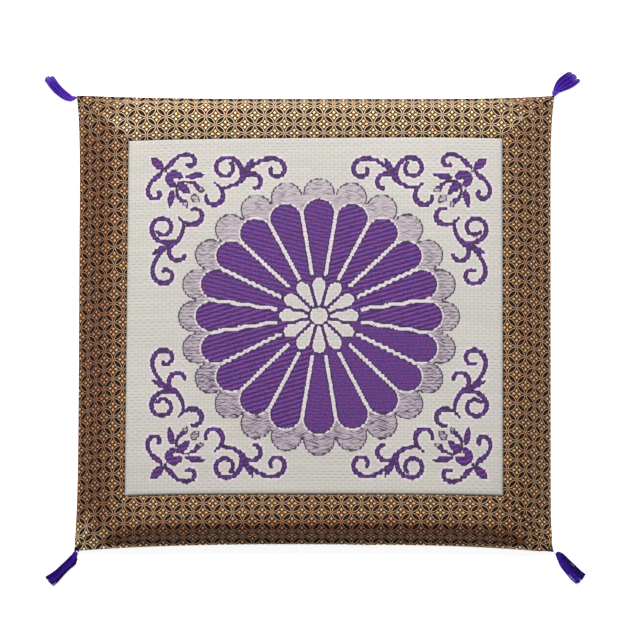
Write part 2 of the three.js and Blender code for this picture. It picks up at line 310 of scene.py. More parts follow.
def between(corners, side, t):
    start = np.array(corners[side["start"]])
    end = np.array(corners[side["end"]])
    return start + (end - start) * ((t + 1) / 2)[..., None]


def seam_line(side, t):
    """Plan of the seam: straight from corner to corner, drawn in by the filling."""
    along = np.subtract(SEAM_CORNERS[side["end"]], SEAM_CORNERS[side["start"]])
    along /= np.linalg.norm(along)
    power = np.where(t < 0, *side["powers"])
    drawn = side["draw_in"] * (1 - np.abs(t) ** power)
    return between(SEAM_CORNERS, side, t) + drawn[..., None] * np.array([-along[1], along[0]])


def corner_drop(t):
    return CORNER_DROP * np.abs(t) ** CORNER_DROP_POWER


def pucker_height(side, t, inward):
    share = 1 - np.clip(inward, 0, BORDER_WIDTH) / BORDER_WIDTH
    fade = np.where(share < PUCKER_PEAK, share / PUCKER_PEAK, (1 - share) / (1 - PUCKER_PEAK))
    height = np.zeros(np.broadcast(t, inward).shape)
    for pucker in PUCKERS:
        if pucker["side"] == side["name"]:
            away = (t - pucker["at"]) * HALF_SEAM / pucker["width"]
            height = height + pucker["height"] * np.exp(-away * away)
    return height * smoothstep(fade, 0, 1) * smoothstep(1 - np.abs(t), 0, MITRE_CLEAR)


def border_bed(side, t, inward):
    """Points of the filled body's top under the border, rows across and columns along."""
    t, inward = np.meshgrid(t, inward)
    share = (inward / BORDER_WIDTH)[..., None]
    plan = lerp(seam_line(side, t), between(PANEL_CORNERS, side, t), share)
    rise = lerp(
        read_section(BORDER_SECTION, side["rise"], inward),
        read_section(BORDER_SECTION, "rise_corner", inward),
        smoothstep(np.abs(t), CORNER_BLEND_FROM, 1),
    )
    height = SEAM_HEIGHT - corner_drop(t) + rise + pucker_height(side, t, inward)
    return np.dstack([plan, height])


def panel_bed(a, b):
    """Points of the filled body's top under the rush panel, without the ditch round it."""
    a, b = np.meshgrid(a, b)
    corners = {name: np.array(place) for name, place in PANEL_CORNERS.items()}
    across = ((a + 1) / 2)[..., None]
    front = lerp(corners["front_left"], corners["front_right"], across)
    back = lerp(corners["back_left"], corners["back_right"], across)
    plan = lerp(front, back, ((b + 1) / 2)[..., None])
    edge = SEAM_HEIGHT + SHOULDER_RISE - corner_drop(a * b)
    return np.dstack([plan, edge + CROWN_RISE * (1 - a * a) * (1 - b * b)])


def levelness(bed):
    """The upward part of the grid's normals, kept off the steepest slopes."""
    normal = np.cross(np.gradient(bed, axis=1), np.gradient(bed, axis=0))
    up = np.abs(normal[..., 2]) / np.linalg.norm(normal, axis=-1)
    return np.maximum(up, LEAST_LEVELNESS)


def crowded(count, crowding):
    """Positions from -1 to 1, closer together towards both ends."""
    s = np.linspace(-1, 1, count + 1)
    return s * (1 + crowding) - crowding * s ** 3


def rim_of(index):
    """The indices round a grid's edge, back to the first."""
    return np.concatenate([index[0, :-1], index[:-1, -1], index[-1, :0:-1], index[::-1, 0]])


class Shell:
    """Collects grids of points, in millimetres, and faces between them."""

    def __init__(self):
        self.points = []
        self.faces = []
        self.count = 0

    def add(self, grid, flipped=False):
        """Adds a grid with its faces and returns its points' indices."""
        rows, columns = grid.shape[:2]
        index = self.count + np.arange(rows * columns).reshape(rows, columns)
        corners = [index[:-1, :-1], index[:-1, 1:], index[1:, 1:], index[1:, :-1]]
        if flipped:
            corners = corners[::-1]
        self.points.append(grid.reshape(-1, 3))
        self.faces += np.stack([c.ravel() for c in corners], axis=-1).tolist()
        self.count += rows * columns
        return index

    def finish(self, name, material):
        return make_object(name, np.concatenate(self.points), self.faces, material)


def make_object(name, points, faces, material):
    """A smooth mesh object from points in millimetres and a list of faces."""
    mesh = bpy.data.meshes.new(name)
    mesh.from_pydata((np.asarray(points) * MM).tolist(), [], faces)
    mesh.shade_smooth()
    mesh.materials.append(material)
    mesh.update()
    return link_object(name, mesh)


def link_object(name, data):
    made = bpy.data.objects.new(name, data)
    bpy.context.scene.collection.objects.link(made)
    return made


def write_uv(mesh, places):
    """Cloth coordinates in metres, from one pair in millimetres for each point."""
    layer = mesh.uv_layers.new(name="cloth")
    index = np.zeros(len(mesh.loops), np.int32)
    mesh.loops.foreach_get("vertex_index", index)
    layer.data.foreach_set("uv", (places[index] * MM).astype(np.float32).ravel())


def write_attribute(mesh, name, values, domain="POINT"):
    attribute = mesh.attributes.new(name, "FLOAT", domain)
    attribute.data.foreach_set("value", np.asarray(values, np.float32).ravel())


def settle(obj, node):
    """The piece rides on the body and stands for its CAD node, which it hides."""
    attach(obj, BODY)
    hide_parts(node)


def placing(operation, swapped=False):
    """A method that places a math node on its field and on what else it is given."""
    def place(field, *others):
        values = (*others, field) if swapped else (field, *others)
        return field.wiring.math(operation, *values)
    return place


class Field:
    """A value that changes over a surface. Arithmetic on it places math nodes."""

    def __init__(self, wiring, socket):
        self.wiring = wiring
        self.socket = socket

    __add__ = placing("ADD")
    __sub__ = placing("SUBTRACT")
    __rsub__ = placing("SUBTRACT", swapped=True)
    __mul__ = placing("MULTIPLY")
    __truediv__ = placing("DIVIDE")
    __rtruediv__ = placing("DIVIDE", swapped=True)
    __pow__ = placing("POWER")
    __abs__ = placing("ABSOLUTE")
    floor = placing("FLOOR")
    whole = placing("ROUND")
    part = placing("FRACT")
    root = placing("SQRT")
    sine = placing("SINE")
    cosine = placing("COSINE")
    above = placing("GREATER_THAN")
    larger = placing("MAXIMUM")
    smaller = placing("MINIMUM")

    def off_centre(self):
        """From 0 in the middle of each whole step to 1 at its ends."""
        return abs(self.part() * 2.0 - 1.0)


class Wiring:
    """Places and links the nodes of one material or node group."""

    def __init__(self, tree):
        self.tree = tree

    def add(self, kind, inputs=None, **settings):
        node = self.tree.nodes.new(kind)
        for name, value in settings.items():
            setattr(node, name, value)
        for socket, value in (inputs or {}).items():
            if isinstance(value, Field):
                self.tree.links.new(value.socket, node.inputs[socket])
            else:
                node.inputs[socket].default_value = value
        return node

    def read(self, node, output=0):
        return Field(self, node.outputs[output])

    def math(self, operation, *values, clamp=False):
        inputs = dict(enumerate(values))
        return self.read(self.add("ShaderNodeMath", inputs, operation=operation, use_clamp=clamp))

    def ramp(self, value, low, high, to_low=0.0, to_high=1.0):
        """Smooth change from to_low to to_high as value goes from low to high."""
        inputs = dict(enumerate((value, low, high, to_low, to_high)))
        return self.read(self.add("ShaderNodeMapRange", inputs, interpolation_type="SMOOTHSTEP"))

    def blend(self, share, under, over, mode="MIX"):
        inputs = {0: share, 6: under, 7: over}
        return self.read(self.add("ShaderNodeMix", inputs, data_type="RGBA", blend_type=mode), 2)

    def times(self, colour, other):
        return self.blend(1.0, colour, other, "MULTIPLY")

    def tint(self, colour, tone):
        """The colour times a grey tone."""
        return self.times(colour, self.join(tone, tone, tone))

    def split(self, vector):
        node = self.add("ShaderNodeSeparateXYZ", {0: vector})
        return [Field(self, output) for output in node.outputs]

    def join(self, x, y, z=0.0):
        return self.read(self.add("ShaderNodeCombineXYZ", {0: x, 1: y, 2: z}))

    def stretch(self, vector, across, along):
        return self.read(self.add("ShaderNodeMapping", {"Vector": vector, "Scale": (across, along, 1)}))

    def noise(self, vector, scale=1.0, detail=2.0):
        inputs = {"Vector": vector, "Scale": scale, "Detail": detail}
        return self.read(self.add("ShaderNodeTexNoise", inputs))

    def chance(self, x, y):
        """A number from 0 to 1 for each whole x and y."""
        inputs = {"Vector": self.join(x, y)}
        return self.read(self.add("ShaderNodeTexWhiteNoise", inputs, noise_dimensions="2D"))

    def attribute(self, name):
        return self.read(self.add("ShaderNodeAttribute", attribute_name=name), "Fac")

    def cloth(self):
        return self.read(self.add("ShaderNodeUVMap", uv_map="cloth"))

    def group(self, tree, inputs):
        node = self.add("ShaderNodeGroup", inputs, node_tree=tree)
        return {output.name: Field(self, output) for output in node.outputs}


def shared_group(name, inputs, outputs):
    """Turns a function that wires a node group into one that builds it once and hands it out.

    inputs and outputs name the sockets and their kinds; a number makes a Float with that default.
    """
    def wrap(wire):
        def hand_out():
            if name not in bpy.data.node_groups:
                tree = bpy.data.node_groups.new(name, "ShaderNodeTree")
                for way, sockets in (("INPUT", inputs), ("OUTPUT", outputs)):
                    for socket, kind in sockets.items():
                        add_group_socket(tree, socket, way, kind)
                w = Wiring(tree)
                entry = w.add("NodeGroupInput")
                w.add("NodeGroupOutput", wire(w, *[w.read(entry, socket) for socket in inputs]))
            return bpy.data.node_groups[name]
        return hand_out
    return wrap


def add_group_socket(tree, name, way, kind):
    number = isinstance(kind, float)
    made = tree.interface.new_socket(
        name, in_out=way, socket_type="NodeSocket" + ("Float" if number else kind))
    if number:
        made.default_value = kind


@shared_group(
    "Thread weave",
    {"Cloth": "Vector", "Thread pitch": 0.0006},
    {"Height": "Float", "Tone": "Float"},
)
def thread_weave(w, cloth, thread_pitch):
    """Plain weave of round threads: height, and a tone with painted shade between threads."""
    x, y, _ = w.split(cloth)
    warp = (x / thread_pitch * math.pi).sine()
    weft = (y / thread_pitch * math.pi).sine()
    over = (warp * weft).above(0.0)
    height = abs(warp) * over + abs(weft) * (1.0 - over)
    return {"Height": height, "Tone": w.ramp(height, 0.1, 0.9, 0.78, 1.0)}


@shared_group(
    "Uneven dye",
    {"Cloth": "Vector", "Patch size": 0.08, "Depth": 0.1},
    {"Tone": "Float"},
)
def uneven_dye(w, cloth, patch_size, depth):
    """Soft patches of lighter and darker dye, and finer mottling, as a factor near 1."""
    patches = w.noise(cloth, 1.0 / patch_size, 3.0)
    mottle = w.noise(cloth, 12.0 / patch_size)
    both = patches * 0.7 + mottle * 0.3
    return {"Tone": (both - 0.5) * (depth * 4.0) + 1.0}


@shared_group(
    "Rush courses",
    {"Cloth": "Vector", "Course pitch": 0.0048, "Warp pitch": 0.0057, "Waviness": 1.0},
    {"Height": "Float", "Gap": "Float", "Fibre": "Float", "Stem": "Float", "Warp": "Float"},
)
def rush_courses(w, cloth, course_pitch, warp_pitch, waviness):
    """Courses of rush over hemp warps: height, gap between courses, fibres, stem tone and warps."""
    x, y, _ = w.split(cloth)
    column = x / (warp_pitch * 2.0)
    course = y / course_pitch
    stem = course.floor()
    phase = (column + stem * 0.5) * math.tau
    drift = w.noise(w.join(x * 40.0, course * 0.5), detail=1.0)
    shift = phase.sine() * (waviness * 0.06) + (drift - 0.5) * 0.22
    gap = (course + shift).off_centre()
    rounded = w.math("SUBTRACT", 1.0, gap ** 2.6, clamp=True).root()
    fibre = w.noise(w.join(x * 90.0, y * 2600.0))
    segment = (x * 6.0 + w.chance(stem, 3.0)).floor()
    return {
        "Height": rounded * (phase.cosine() * 0.10 + 0.9) + fibre * 0.12,
        "Gap": gap,
        "Fibre": fibre,
        "Stem": w.chance(stem, segment),
        "Warp": w.ramp(abs((column * math.tau).cosine()), 0.75, 0.97),
    }


# Places of the small motifs between a circle's middle and its edge, in halves of the repeat.
DIAMOND_AT = 0.305
SPOT_AT = 0.64
NOTCH_AT = 0.25


@shared_group(
    "Interlaced circles",
    {"Circles": "Vector", "Ground": "Color", "Line": "Color", "Lens": "Color",
     "Diamond": "Color", "Heart": "Color", "Second heart": "Color"},
    {"Colour": "Color", "Height": "Float", "Lustre": "Float"},
)
def interlaced_circles(w, circles, ground, thread, dark, cream, gold, red):
    """Interlaced circles woven in brocade: colour, raised threads and lustre."""
    a, b, _ = w.split(circles)
    s = (a + b) * 0.5
    t = (a - b) * 0.5
    cell_s = s.whole()
    cell_t = t.whole()
    off_s = s - cell_s
    off_t = t - cell_t
    far = abs(off_s).larger(abs(off_t))
    near = abs(off_s).smaller(abs(off_t))
    inside = math.sqrt(0.5) - ((1.0 - far) ** 2.0 + near ** 2.0).root()
    line = w.ramp(inside, 0.008, 0.023) * w.ramp(inside, 0.076, 0.062)
    lens = w.ramp(inside, 0.065, 0.081)
    shade = w.ramp(inside, -0.060, -0.022) * w.ramp(inside, 0.010, -0.010)
    leaning = abs(off_s + off_t)
    other = abs(off_s - off_t)
    out = leaning.larger(other)
    side = leaning.smaller(other)
    diamond = w.ramp(abs(out - DIAMOND_AT) * 0.76 + side, 0.155, 0.125)
    spot = w.ramp(abs(out - SPOT_AT) * 0.64 + side, 0.12, 0.08)
    notch = w.ramp(abs(out - NOTCH_AT) + abs(side - NOTCH_AT), 0.12, 0.06)
    heart = w.ramp(out, 0.190, 0.155)
    from_node = 1.0 - (abs(off_s) + abs(off_t))
    star = w.ramp(from_node, 0.145, 0.10)
    warm = w.blend(w.ramp(w.chance(cell_s, cell_t), 0.35, 0.65), gold, red)
    colour = w.blend(spot.larger(notch) * 0.9, ground, dark)
    colour = w.blend(shade * 0.8, colour, dark)
    colour = w.blend(diamond, colour, cream)
    colour = w.blend(heart, colour, warm)
    colour = w.blend(line.larger(star), colour, thread)
    colour = w.blend(lens, colour, dark)
    colour = w.blend(w.ramp(from_node, 0.21, 0.09, 0.0, 0.62), colour, warm)
    raised = w.math("ADD", line, diamond, clamp=True)
    return {"Colour": colour, "Height": raised, "Lustre": raised.larger(heart * 0.7)}


def new_material(name):
    material = bpy.data.materials.new(name)
    material.use_nodes = True
    w = Wiring(material.node_tree)
    w.tree.nodes.clear()
    return material, w


def add_shader(w, inputs, bump=None):
    """Adds the Principled shader with its inputs, and with a bump where one is given."""
    if bump:
        inputs["Normal"] = w.read(w.add("ShaderNodeBump", bump))
    shader = w.add("ShaderNodeBsdfPrincipled", inputs)
    output = w.add("ShaderNodeOutputMaterial")
    w.tree.links.new(shader.outputs[0], output.inputs[0])


# The woven design's edge, in millimetres: how far each stem strays over it, and how soft it is.
STRAY = 1.1
EDGE_SOFTNESS = 0.35
# The flower's middle on the cloth, in metres from the panel's left edge.
FLOWER_ACROSS = 0.28
# How fine the rush's grain is, in repeats a metre across the cloth and along it, and how steeply
# the dark stems of the scalloped ring climb.
FLECKS = (60, 190)
STEM_TONES = (340, 560)
RIB_WANDER = (90, 240)
STREAKS = (60.0, 560.0)
STREAK_RISES = (-0.3, 0.4)


def rush_material(settings):
    material, w = new_material("rush_weave")
    cloth = w.cloth()
    x, y, _ = w.split(cloth)
    half_warp = x / (settings.warp_pitch / 2)
    half_course = y / (settings.course_pitch / 2)
    ragged = (w.chance(half_warp.floor(), half_course.floor()) - 0.5) * STRAY
    purple_depth = w.attribute("purple") + ragged
    purple = w.ramp(purple_depth, -EDGE_SOFTNESS, EDGE_SOFTNESS)
    pale = w.ramp(w.attribute("pale") + ragged, -EDGE_SOFTNESS, EDGE_SOFTNESS)
    rush = w.group(rush_courses(), {
        "Cloth": cloth, "Course pitch": settings.course_pitch, "Warp pitch": settings.warp_pitch,
        "Waviness": 1.0 - purple})
    rib = twill_rib(w, cloth, settings)
    flecks = w.noise(w.stretch(cloth, *FLECKS))
    colour = w.blend(
        pale,
        undyed_rush(w, settings, cloth, rush, flecks, purple_depth),
        half_dyed_rush(w, settings, cloth, rush, flecks, w.attribute("pale_edge") + ragged),
    )
    colour = w.blend(purple, colour, dyed_rush(w, settings, cloth, rush, rib, purple_depth))
    dye = w.group(uneven_dye(), {"Cloth": cloth, "Patch size": 0.12, "Depth": 0.035})
    inputs = {
        "Base Color": w.tint(colour, dye["Tone"]),
        "Roughness": w.ramp(rush["Fibre"], 0.2, 0.8, 0.58, 0.72),
        "Specular IOR Level": 0.2,
    }
    height = rush["Height"] + (0.5 - rib) * purple
    add_shader(w, inputs, {"Height": height, "Distance": 0.0003, "Strength": 0.5})
    return material


def undyed_rush(w, settings, cloth, rush, flecks, purple_depth):
    """Cream rush: greener stems, a blush beside the purple, painted shade between courses and painted
    shadows at warps.
    """
    colour = w.blend(w.ramp(w.noise(cloth, 55.0), 0.34, 0.66), settings.cream, settings.green)
    colour = w.blend(w.ramp(flecks, 0.5, 0.75, 0.0, 0.3), colour, settings.green)
    colour = w.blend(w.ramp(purple_depth, -4.0, -1.0, 0.0, 0.85), colour, settings.blush)
    tone = (rush["Stem"] * 0.07 + 0.965) * w.ramp(rush["Fibre"], 0.25, 0.75, 0.95, 1.04)
    showing = w.noise(cloth, 11.0)
    # Painted shade in the grooves between courses, and painted shadows at the warps.
    gap = w.ramp(rush["Gap"], 0.78, 0.97) * w.ramp(showing, 0.35, 0.7, 0.3, 0.62)
    warp = rush["Warp"] * w.ramp(showing, 0.65, 0.35, 0.04, 0.12)
    colour = w.blend(gap, w.tint(colour, tone), settings.gap)
    return w.blend(warp, colour, settings.gap)


def dyed_rush(w, settings, cloth, rush, rib, purple_depth):
    """Purple rush: dark between its twill ribs, painted shade between courses, uneven in hue, darkest at
    its edge.
    """
    # Painted shade between courses, added to the dark between twill ribs.
    gap = w.ramp(rush["Gap"], 0.55, 0.95, 0.0, 0.3)
    colour = w.blend(w.math("ADD", rib, gap, clamp=True), settings.purple, settings.deep_purple)
    redder, bluer = (1.10, 0.92, 0.94, 1), (0.90, 1.06, 1.04, 1)
    hue = w.blend(w.ramp(w.noise(cloth, 90.0), 0.35, 0.65), redder, bluer)
    tone = w.ramp(w.noise(w.stretch(cloth, *STEM_TONES), detail=1.0), 0.32, 0.68, 0.68, 1.32)
    colour = w.tint(w.times(colour, hue), tone)
    return w.blend(w.ramp(purple_depth, 2.9, 1.3, 0.0, 0.88), colour, settings.outline)


def half_dyed_rush(w, settings, cloth, rush, flecks, edge_depth):
    """Lilac haze of the scallops: dark slanting stems, and dark courses beside the flower."""
    x, y, _ = w.split(cloth)
    taken = w.ramp(y, 0.42, 0.10, 0.62, 0.95)
    beside = w.ramp(abs(x - FLOWER_ACROSS), 0.11, 0.165, 0.4, 1.0)
    broken = w.ramp(flecks, 0.34, 0.52, 0.4, 0.95)
    courses = w.ramp(rush["Gap"], 0.55, 0.9) * (beside * broken)
    falling, rising = [slanting_streaks(w, x, y, rise) for rise in STREAK_RISES]
    colour = w.blend(taken, settings.cream, settings.lilac)
    colour = w.blend(falling.larger(rising).larger(courses) * taken, colour, settings.haze_line)
    return w.blend(w.ramp(edge_depth, 2.7, 1.3, 0.0, 0.95), colour, settings.outline)


def twill_rib(w, cloth, settings):
    """How far down between the slanting ribs of the dyed rush each place lies."""
    x, y, _ = w.split(cloth)
    level = 0.42
    wander = w.noise(w.stretch(cloth, *RIB_WANDER)) * 0.5
    ribs = (y - x * w.attribute("rise")) / settings.rib_pitch + wander
    swing = w.ramp(ribs.off_centre(), 0.25, 0.85) - level
    return swing * w.attribute("strength") + level


def slanting_streaks(w, x, y, rise):
    """Thin broken lines of darker stems that climb across the cloth."""
    across, along = STREAKS
    places = w.join(x * across, (y - x * rise) * along, 10.0 * rise)
    return w.ramp(w.noise(places, detail=1.0), 0.55, 0.66)


def brocade_material(settings):
    material, w = new_material("brocade")
    cloth = w.cloth()
    x, y, _ = w.split(cloth)
    drift = (w.noise(cloth, 22.0, 1.0) - 0.5) * 0.16
    places = w.join(x / (settings.repeat_along / 2) + drift, y / (settings.repeat_across / 2) + drift)
    circles = w.group(interlaced_circles(), {
        "Circles": places, "Ground": settings.ground, "Line": settings.line,
        "Lens": settings.lens, "Diamond": settings.diamond, "Heart": settings.heart,
        "Second heart": settings.second_heart})
    weave = w.group(thread_weave(), {"Cloth": cloth, "Thread pitch": settings.thread_pitch})
    dye = w.group(uneven_dye(), {"Cloth": cloth, "Patch size": 0.05, "Depth": 0.07})
    # Painted light and shade: the brocade's colour is scaled by a factor read from the strip's points.
    lustre = w.attribute("lustre")
    rosy, greenish = (1.0, 0.93, 0.86, 1), (0.95, 1.0, 0.93, 1)
    cast = w.blend(w.ramp(w.noise(cloth, 70.0, 1.0), 0.38, 0.62), rosy, greenish)
    # Where the painted light is low, the colour is also tinted redder as part of the painted shade.
    painted_shade_tint = w.blend(w.ramp(lustre, 1.2, 0.95), WHITE, (1.0, 0.86, 0.78, 1))
    painted_shade_tint = w.blend(w.ramp(lustre, 0.92, 0.58), painted_shade_tint, (1.0, 0.67, 0.57, 1))
    colour = w.times(circles["Colour"], w.times(cast, painted_shade_tint))
    inputs = {
        # The weave's tone adds painted shade between threads.
        "Base Color": w.tint(colour, weave["Tone"] * dye["Tone"] * lustre),
        "Roughness": w.ramp(circles["Lustre"], 0.0, 1.0, 0.72, 0.5),
        "Metallic": circles["Lustre"] * 0.12,
        "Specular IOR Level": 0.12,
        "Sheen Weight": 0.04,
        "Sheen Roughness": 0.4,
    }
    height = circles["Height"] + weave["Height"] * 0.35
    add_shader(w, inputs, {"Height": height, "Distance": 0.00025, "Strength": 0.9})
    return material


def back_cloth_material(settings):
    material, w = new_material("back_cloth")
    cloth = w.read(w.add("ShaderNodeTexCoord"), "Object")
    weave = w.group(thread_weave(), {"Cloth": cloth, "Thread pitch": 0.0007})
    dye = w.group(uneven_dye(), {"Cloth": cloth, "Patch size": 0.1, "Depth": 0.09})
    wear = w.noise(cloth, 160.0, 3.0)
    lint = (0.32, 0.29, 0.36, 1)
    colour = w.blend(w.ramp(wear, 0.62, 0.78, 0.0, 0.12), settings.back_cloth, lint)
    inputs = {
        # The weave's tone adds painted shade between threads.
        "Base Color": w.tint(colour, weave["Tone"] * dye["Tone"]),
        "Roughness": w.ramp(wear, 0.3, 0.7, 0.82, 0.92),
        "Sheen Weight": 0.25,
        "Sheen Roughness": 0.5,
    }
    add_shader(w, inputs, {"Height": weave["Height"], "Distance": 0.0003, "Strength": 0.7})
    return material


def silk_material(name, colour, shadow, gleam):
    """Silk threads: light and dark ones, a fine twist, and a gleam on some at both ends."""
    material, w = new_material(name)
    thread = w.attribute("thread")
    along = w.attribute("along")
    twist = w.noise(w.join(along * 40.0, thread * 31.0))
    strands = w.noise(w.join(along * 4.0, thread * 12.0), detail=1.0)
    near_end = w.ramp(abs(along - 0.5), 0.26, 0.48)
    mixed = w.blend(w.ramp(thread, 0.15, 0.85), colour, shadow)
    mixed = w.blend(near_end * w.ramp(strands, 0.4, 0.65, 0.1, 0.6), mixed, gleam)
    inputs = {
        "Base Color": w.tint(mixed, w.ramp(twist, 0.25, 0.75, 0.75, 1.25)),
        "Roughness": w.ramp(twist, 0.2, 0.8, 0.4, 0.55),
        "Specular IOR Level": 0.16,
        "Sheen Weight": 0.03,
        "Sheen Roughness": 0.35,
    }
    add_shader(w, inputs, {"Height": twist, "Distance": 0.0002, "Strength": 0.5})
    return material


def colour_property(name, description, default):
    return bpy.props.FloatVectorProperty(
        name=name, description=description, default=(*default, 1.0), size=4, subtype="COLOR",
        min=0.0, max=1.0)


def length_property(name, description, default):
    return bpy.props.FloatProperty(
        name=name, description=description, default=default, min=0.0, subtype="DISTANCE",
        unit="LENGTH", precision=5)


class ZabutonCushionSettings(bpy.types.PropertyGroup):
    back_cloth: colour_property("Back cloth", "Plain cloth of the back and sides", (0.045, 0.032, 0.075))
    swell: length_property("Swell", "Furthest that the filling pushes the back cloth out", 0.004)


class ZabutonRushSettings(bpy.types.PropertyGroup):
    course_pitch: length_property("Course pitch", "From one course of rush to the next", 0.00479)
    warp_pitch: length_property("Warp pitch", "From one hemp warp to the next", 0.0057)
    rib_pitch: length_property("Rib pitch", "From one rib of the dyed twill to the next", 0.0071)
    cream: colour_property("Rush", "Undyed rush", (0.652, 0.608, 0.576))
    green: colour_property("Green rush", "Rush that kept some green", (0.628, 0.618, 0.549))
    blush: colour_property("Blush", "Rush that took some dye beside a motif", (0.80, 0.70, 0.76))
    # Gap is the colour of painted shade between courses and of painted shadows at warps.
    gap: colour_property("Gap", "Between courses and at warps", (0.25, 0.235, 0.225))
    purple: colour_property("Purple rush", "Dyed rush", (0.175, 0.055, 0.300))
    # Deep purple is the dark between twill ribs and the painted shade between courses.
    deep_purple: colour_property("Deep purple", "Dyed rush between courses", (0.058, 0.014, 0.115))
    lilac: colour_property("Lilac", "Half-dyed rush of the scalloped ring", (0.52, 0.43, 0.505))
    haze_line: colour_property("Haze line", "Dark stems of the scalloped ring", (0.050, 0.030, 0.062))
    outline: colour_property("Outline", "Darkest stems at the edge of a motif", (0.045, 0.020, 0.075))


class ZabutonBrocadeSettings(bpy.types.PropertyGroup):
    repeat_along: length_property("Repeat along", "Circle to circle along the strip", 0.0289)
    repeat_across: length_property("Repeat across", "Circle to circle across the strip", 0.0278)
    thread_pitch: length_property("Thread pitch", "From one thread to the next", 0.0007)
    ground: colour_property("Ground", "Dark brown ground", (0.120, 0.052, 0.018))
    line: colour_property("Line", "Thread of the circles", (0.76, 0.57, 0.41))
    lens: colour_property("Lens", "Where two circles cross", (0.022, 0.010, 0.004))
    diamond: colour_property("Diamond", "Four cream diamonds", (1.0, 0.80, 0.54))
    heart: colour_property("Heart", "Golden heart of a circle", (0.215, 0.110, 0.020))
    second_heart: colour_property("Second heart", "Reddish heart of a circle", (0.200, 0.074, 0.024))


class ZabutonTasselSettings(bpy.types.PropertyGroup):
    layers: bpy.props.IntProperty(
        name="Layers", description="Layers of threads in a bundle", default=7, min=2, max=12)
    columns: bpy.props.IntProperty(
        name="Columns", description="Threads across the widest layer", default=20, min=4, max=40)
    thread_radius: length_property("Thread radius", "Half of one thread's thickness", 0.00042)
    # Back and front silk are one silk: painted lit at the back and painted in shade at the front.
    back_silk: colour_property("Back silk", "Threads that catch the light", (0.150, 0.032, 0.72))
    back_shadow: colour_property("Back silk shadow", "Darker threads among them", (0.040, 0.002, 0.23))
    back_gleam: colour_property("Back silk gleam", "Light on its ends", (0.36, 0.17, 0.84))
    front_silk: colour_property("Front silk", "Threads in the shade", (0.066, 0.008, 0.45))
    front_shadow: colour_property("Front silk shadow", "Darker threads among them", (0.014, 0.002, 0.115))
    front_gleam: colour_property("Front silk gleam", "Light on its ends", (0.10, 0.022, 0.55))


class ZabutonStageSettings(bpy.types.PropertyGroup):
    floor: colour_property("Floor", "Pale floor", (0.90, 0.90, 0.90))
    floor_glow: bpy.props.FloatProperty(
        name="Floor glow", description="Light that the floor gives from below", default=0.84, min=0.0)
    tilt: bpy.props.FloatProperty(
        name="Camera elevation", description="Above the floor", default=math.radians(72),
        subtype="ANGLE", unit="ROTATION")
    view_width: length_property("View width", "Width of what the camera sees", 0.937)
    lens: bpy.props.FloatProperty(
        name="Lens", description="Focal length in millimetres", default=1600.0, min=1.0)
    key_power: bpy.props.FloatProperty(
        name="Key light", description="Soft light from behind, in watts", default=340.0,
        unit="POWER")
    sky: bpy.props.FloatProperty(
        name="Sky", description="Strength of the even light all round", default=0.14, min=0.0)


# Where a strip was sewn short of the corner, so that the back cloth shows.
SHORT_CORNER = {"corner": "front_right", "short": 7.0, "reach": 13.0, "lift": 0.8}
STRIP_COLUMNS = 220
STRIP_ROWS = 44
END_CROWDING = 0.3
SEAM_CROWDING = 0.25

# The strip's edge rolled under at the seam, from its lowest row up: how far out and how far down.
# Its inner face follows it, this much further in, with these shares of out and down.
SEAM_ROLL = table("out drop", (-0.5, 2.6), (0.5, 1.8), (0.6, 0.8))
ROLL_INSET = 1.0
ROLL_INNER_OUT = 0.5
ROLL_INNER_DROP = 0.6


def draw_back(points):
    """Draws the cloth back from the corner where it was sewn short."""
    corner = np.array(SEAM_CORNERS[SHORT_CORNER["corner"]])
    away = points[..., :2] - corner
    share = np.exp(-np.sum(away * away, axis=-1) / SHORT_CORNER["reach"] ** 2)[..., None]
    points[..., :2] -= share * SHORT_CORNER["short"] * np.sign(corner) / math.sqrt(2)
    points[..., 2] += share[..., 0] * SHORT_CORNER["lift"]


def strip_top(side, t, inward):
    """Top of a strip on its bed, falling at the mitres and the panel, and its upright thickness."""
    top = border_bed(side, t, inward)
    lift = 1 / levelness(top)
    half_side = lerp(HALF_SEAM, HALF_PANEL, inward / BORDER_WIDTH)[:, None]
    to_mitre = (1 - np.abs(t)) * half_side / math.sqrt(2)
    to_edge = np.minimum(to_mitre, (BORDER_WIDTH - inward)[:, None])
    near_edge = np.clip(1 - to_edge / EDGE_ROUNDING, 0, 1)
    top[..., 2] += (LAY_GAP + BROCADE_THICKNESS) * lift - EDGE_FALL * near_edge ** 2
    draw_back(top)
    return top, BROCADE_THICKNESS * lift


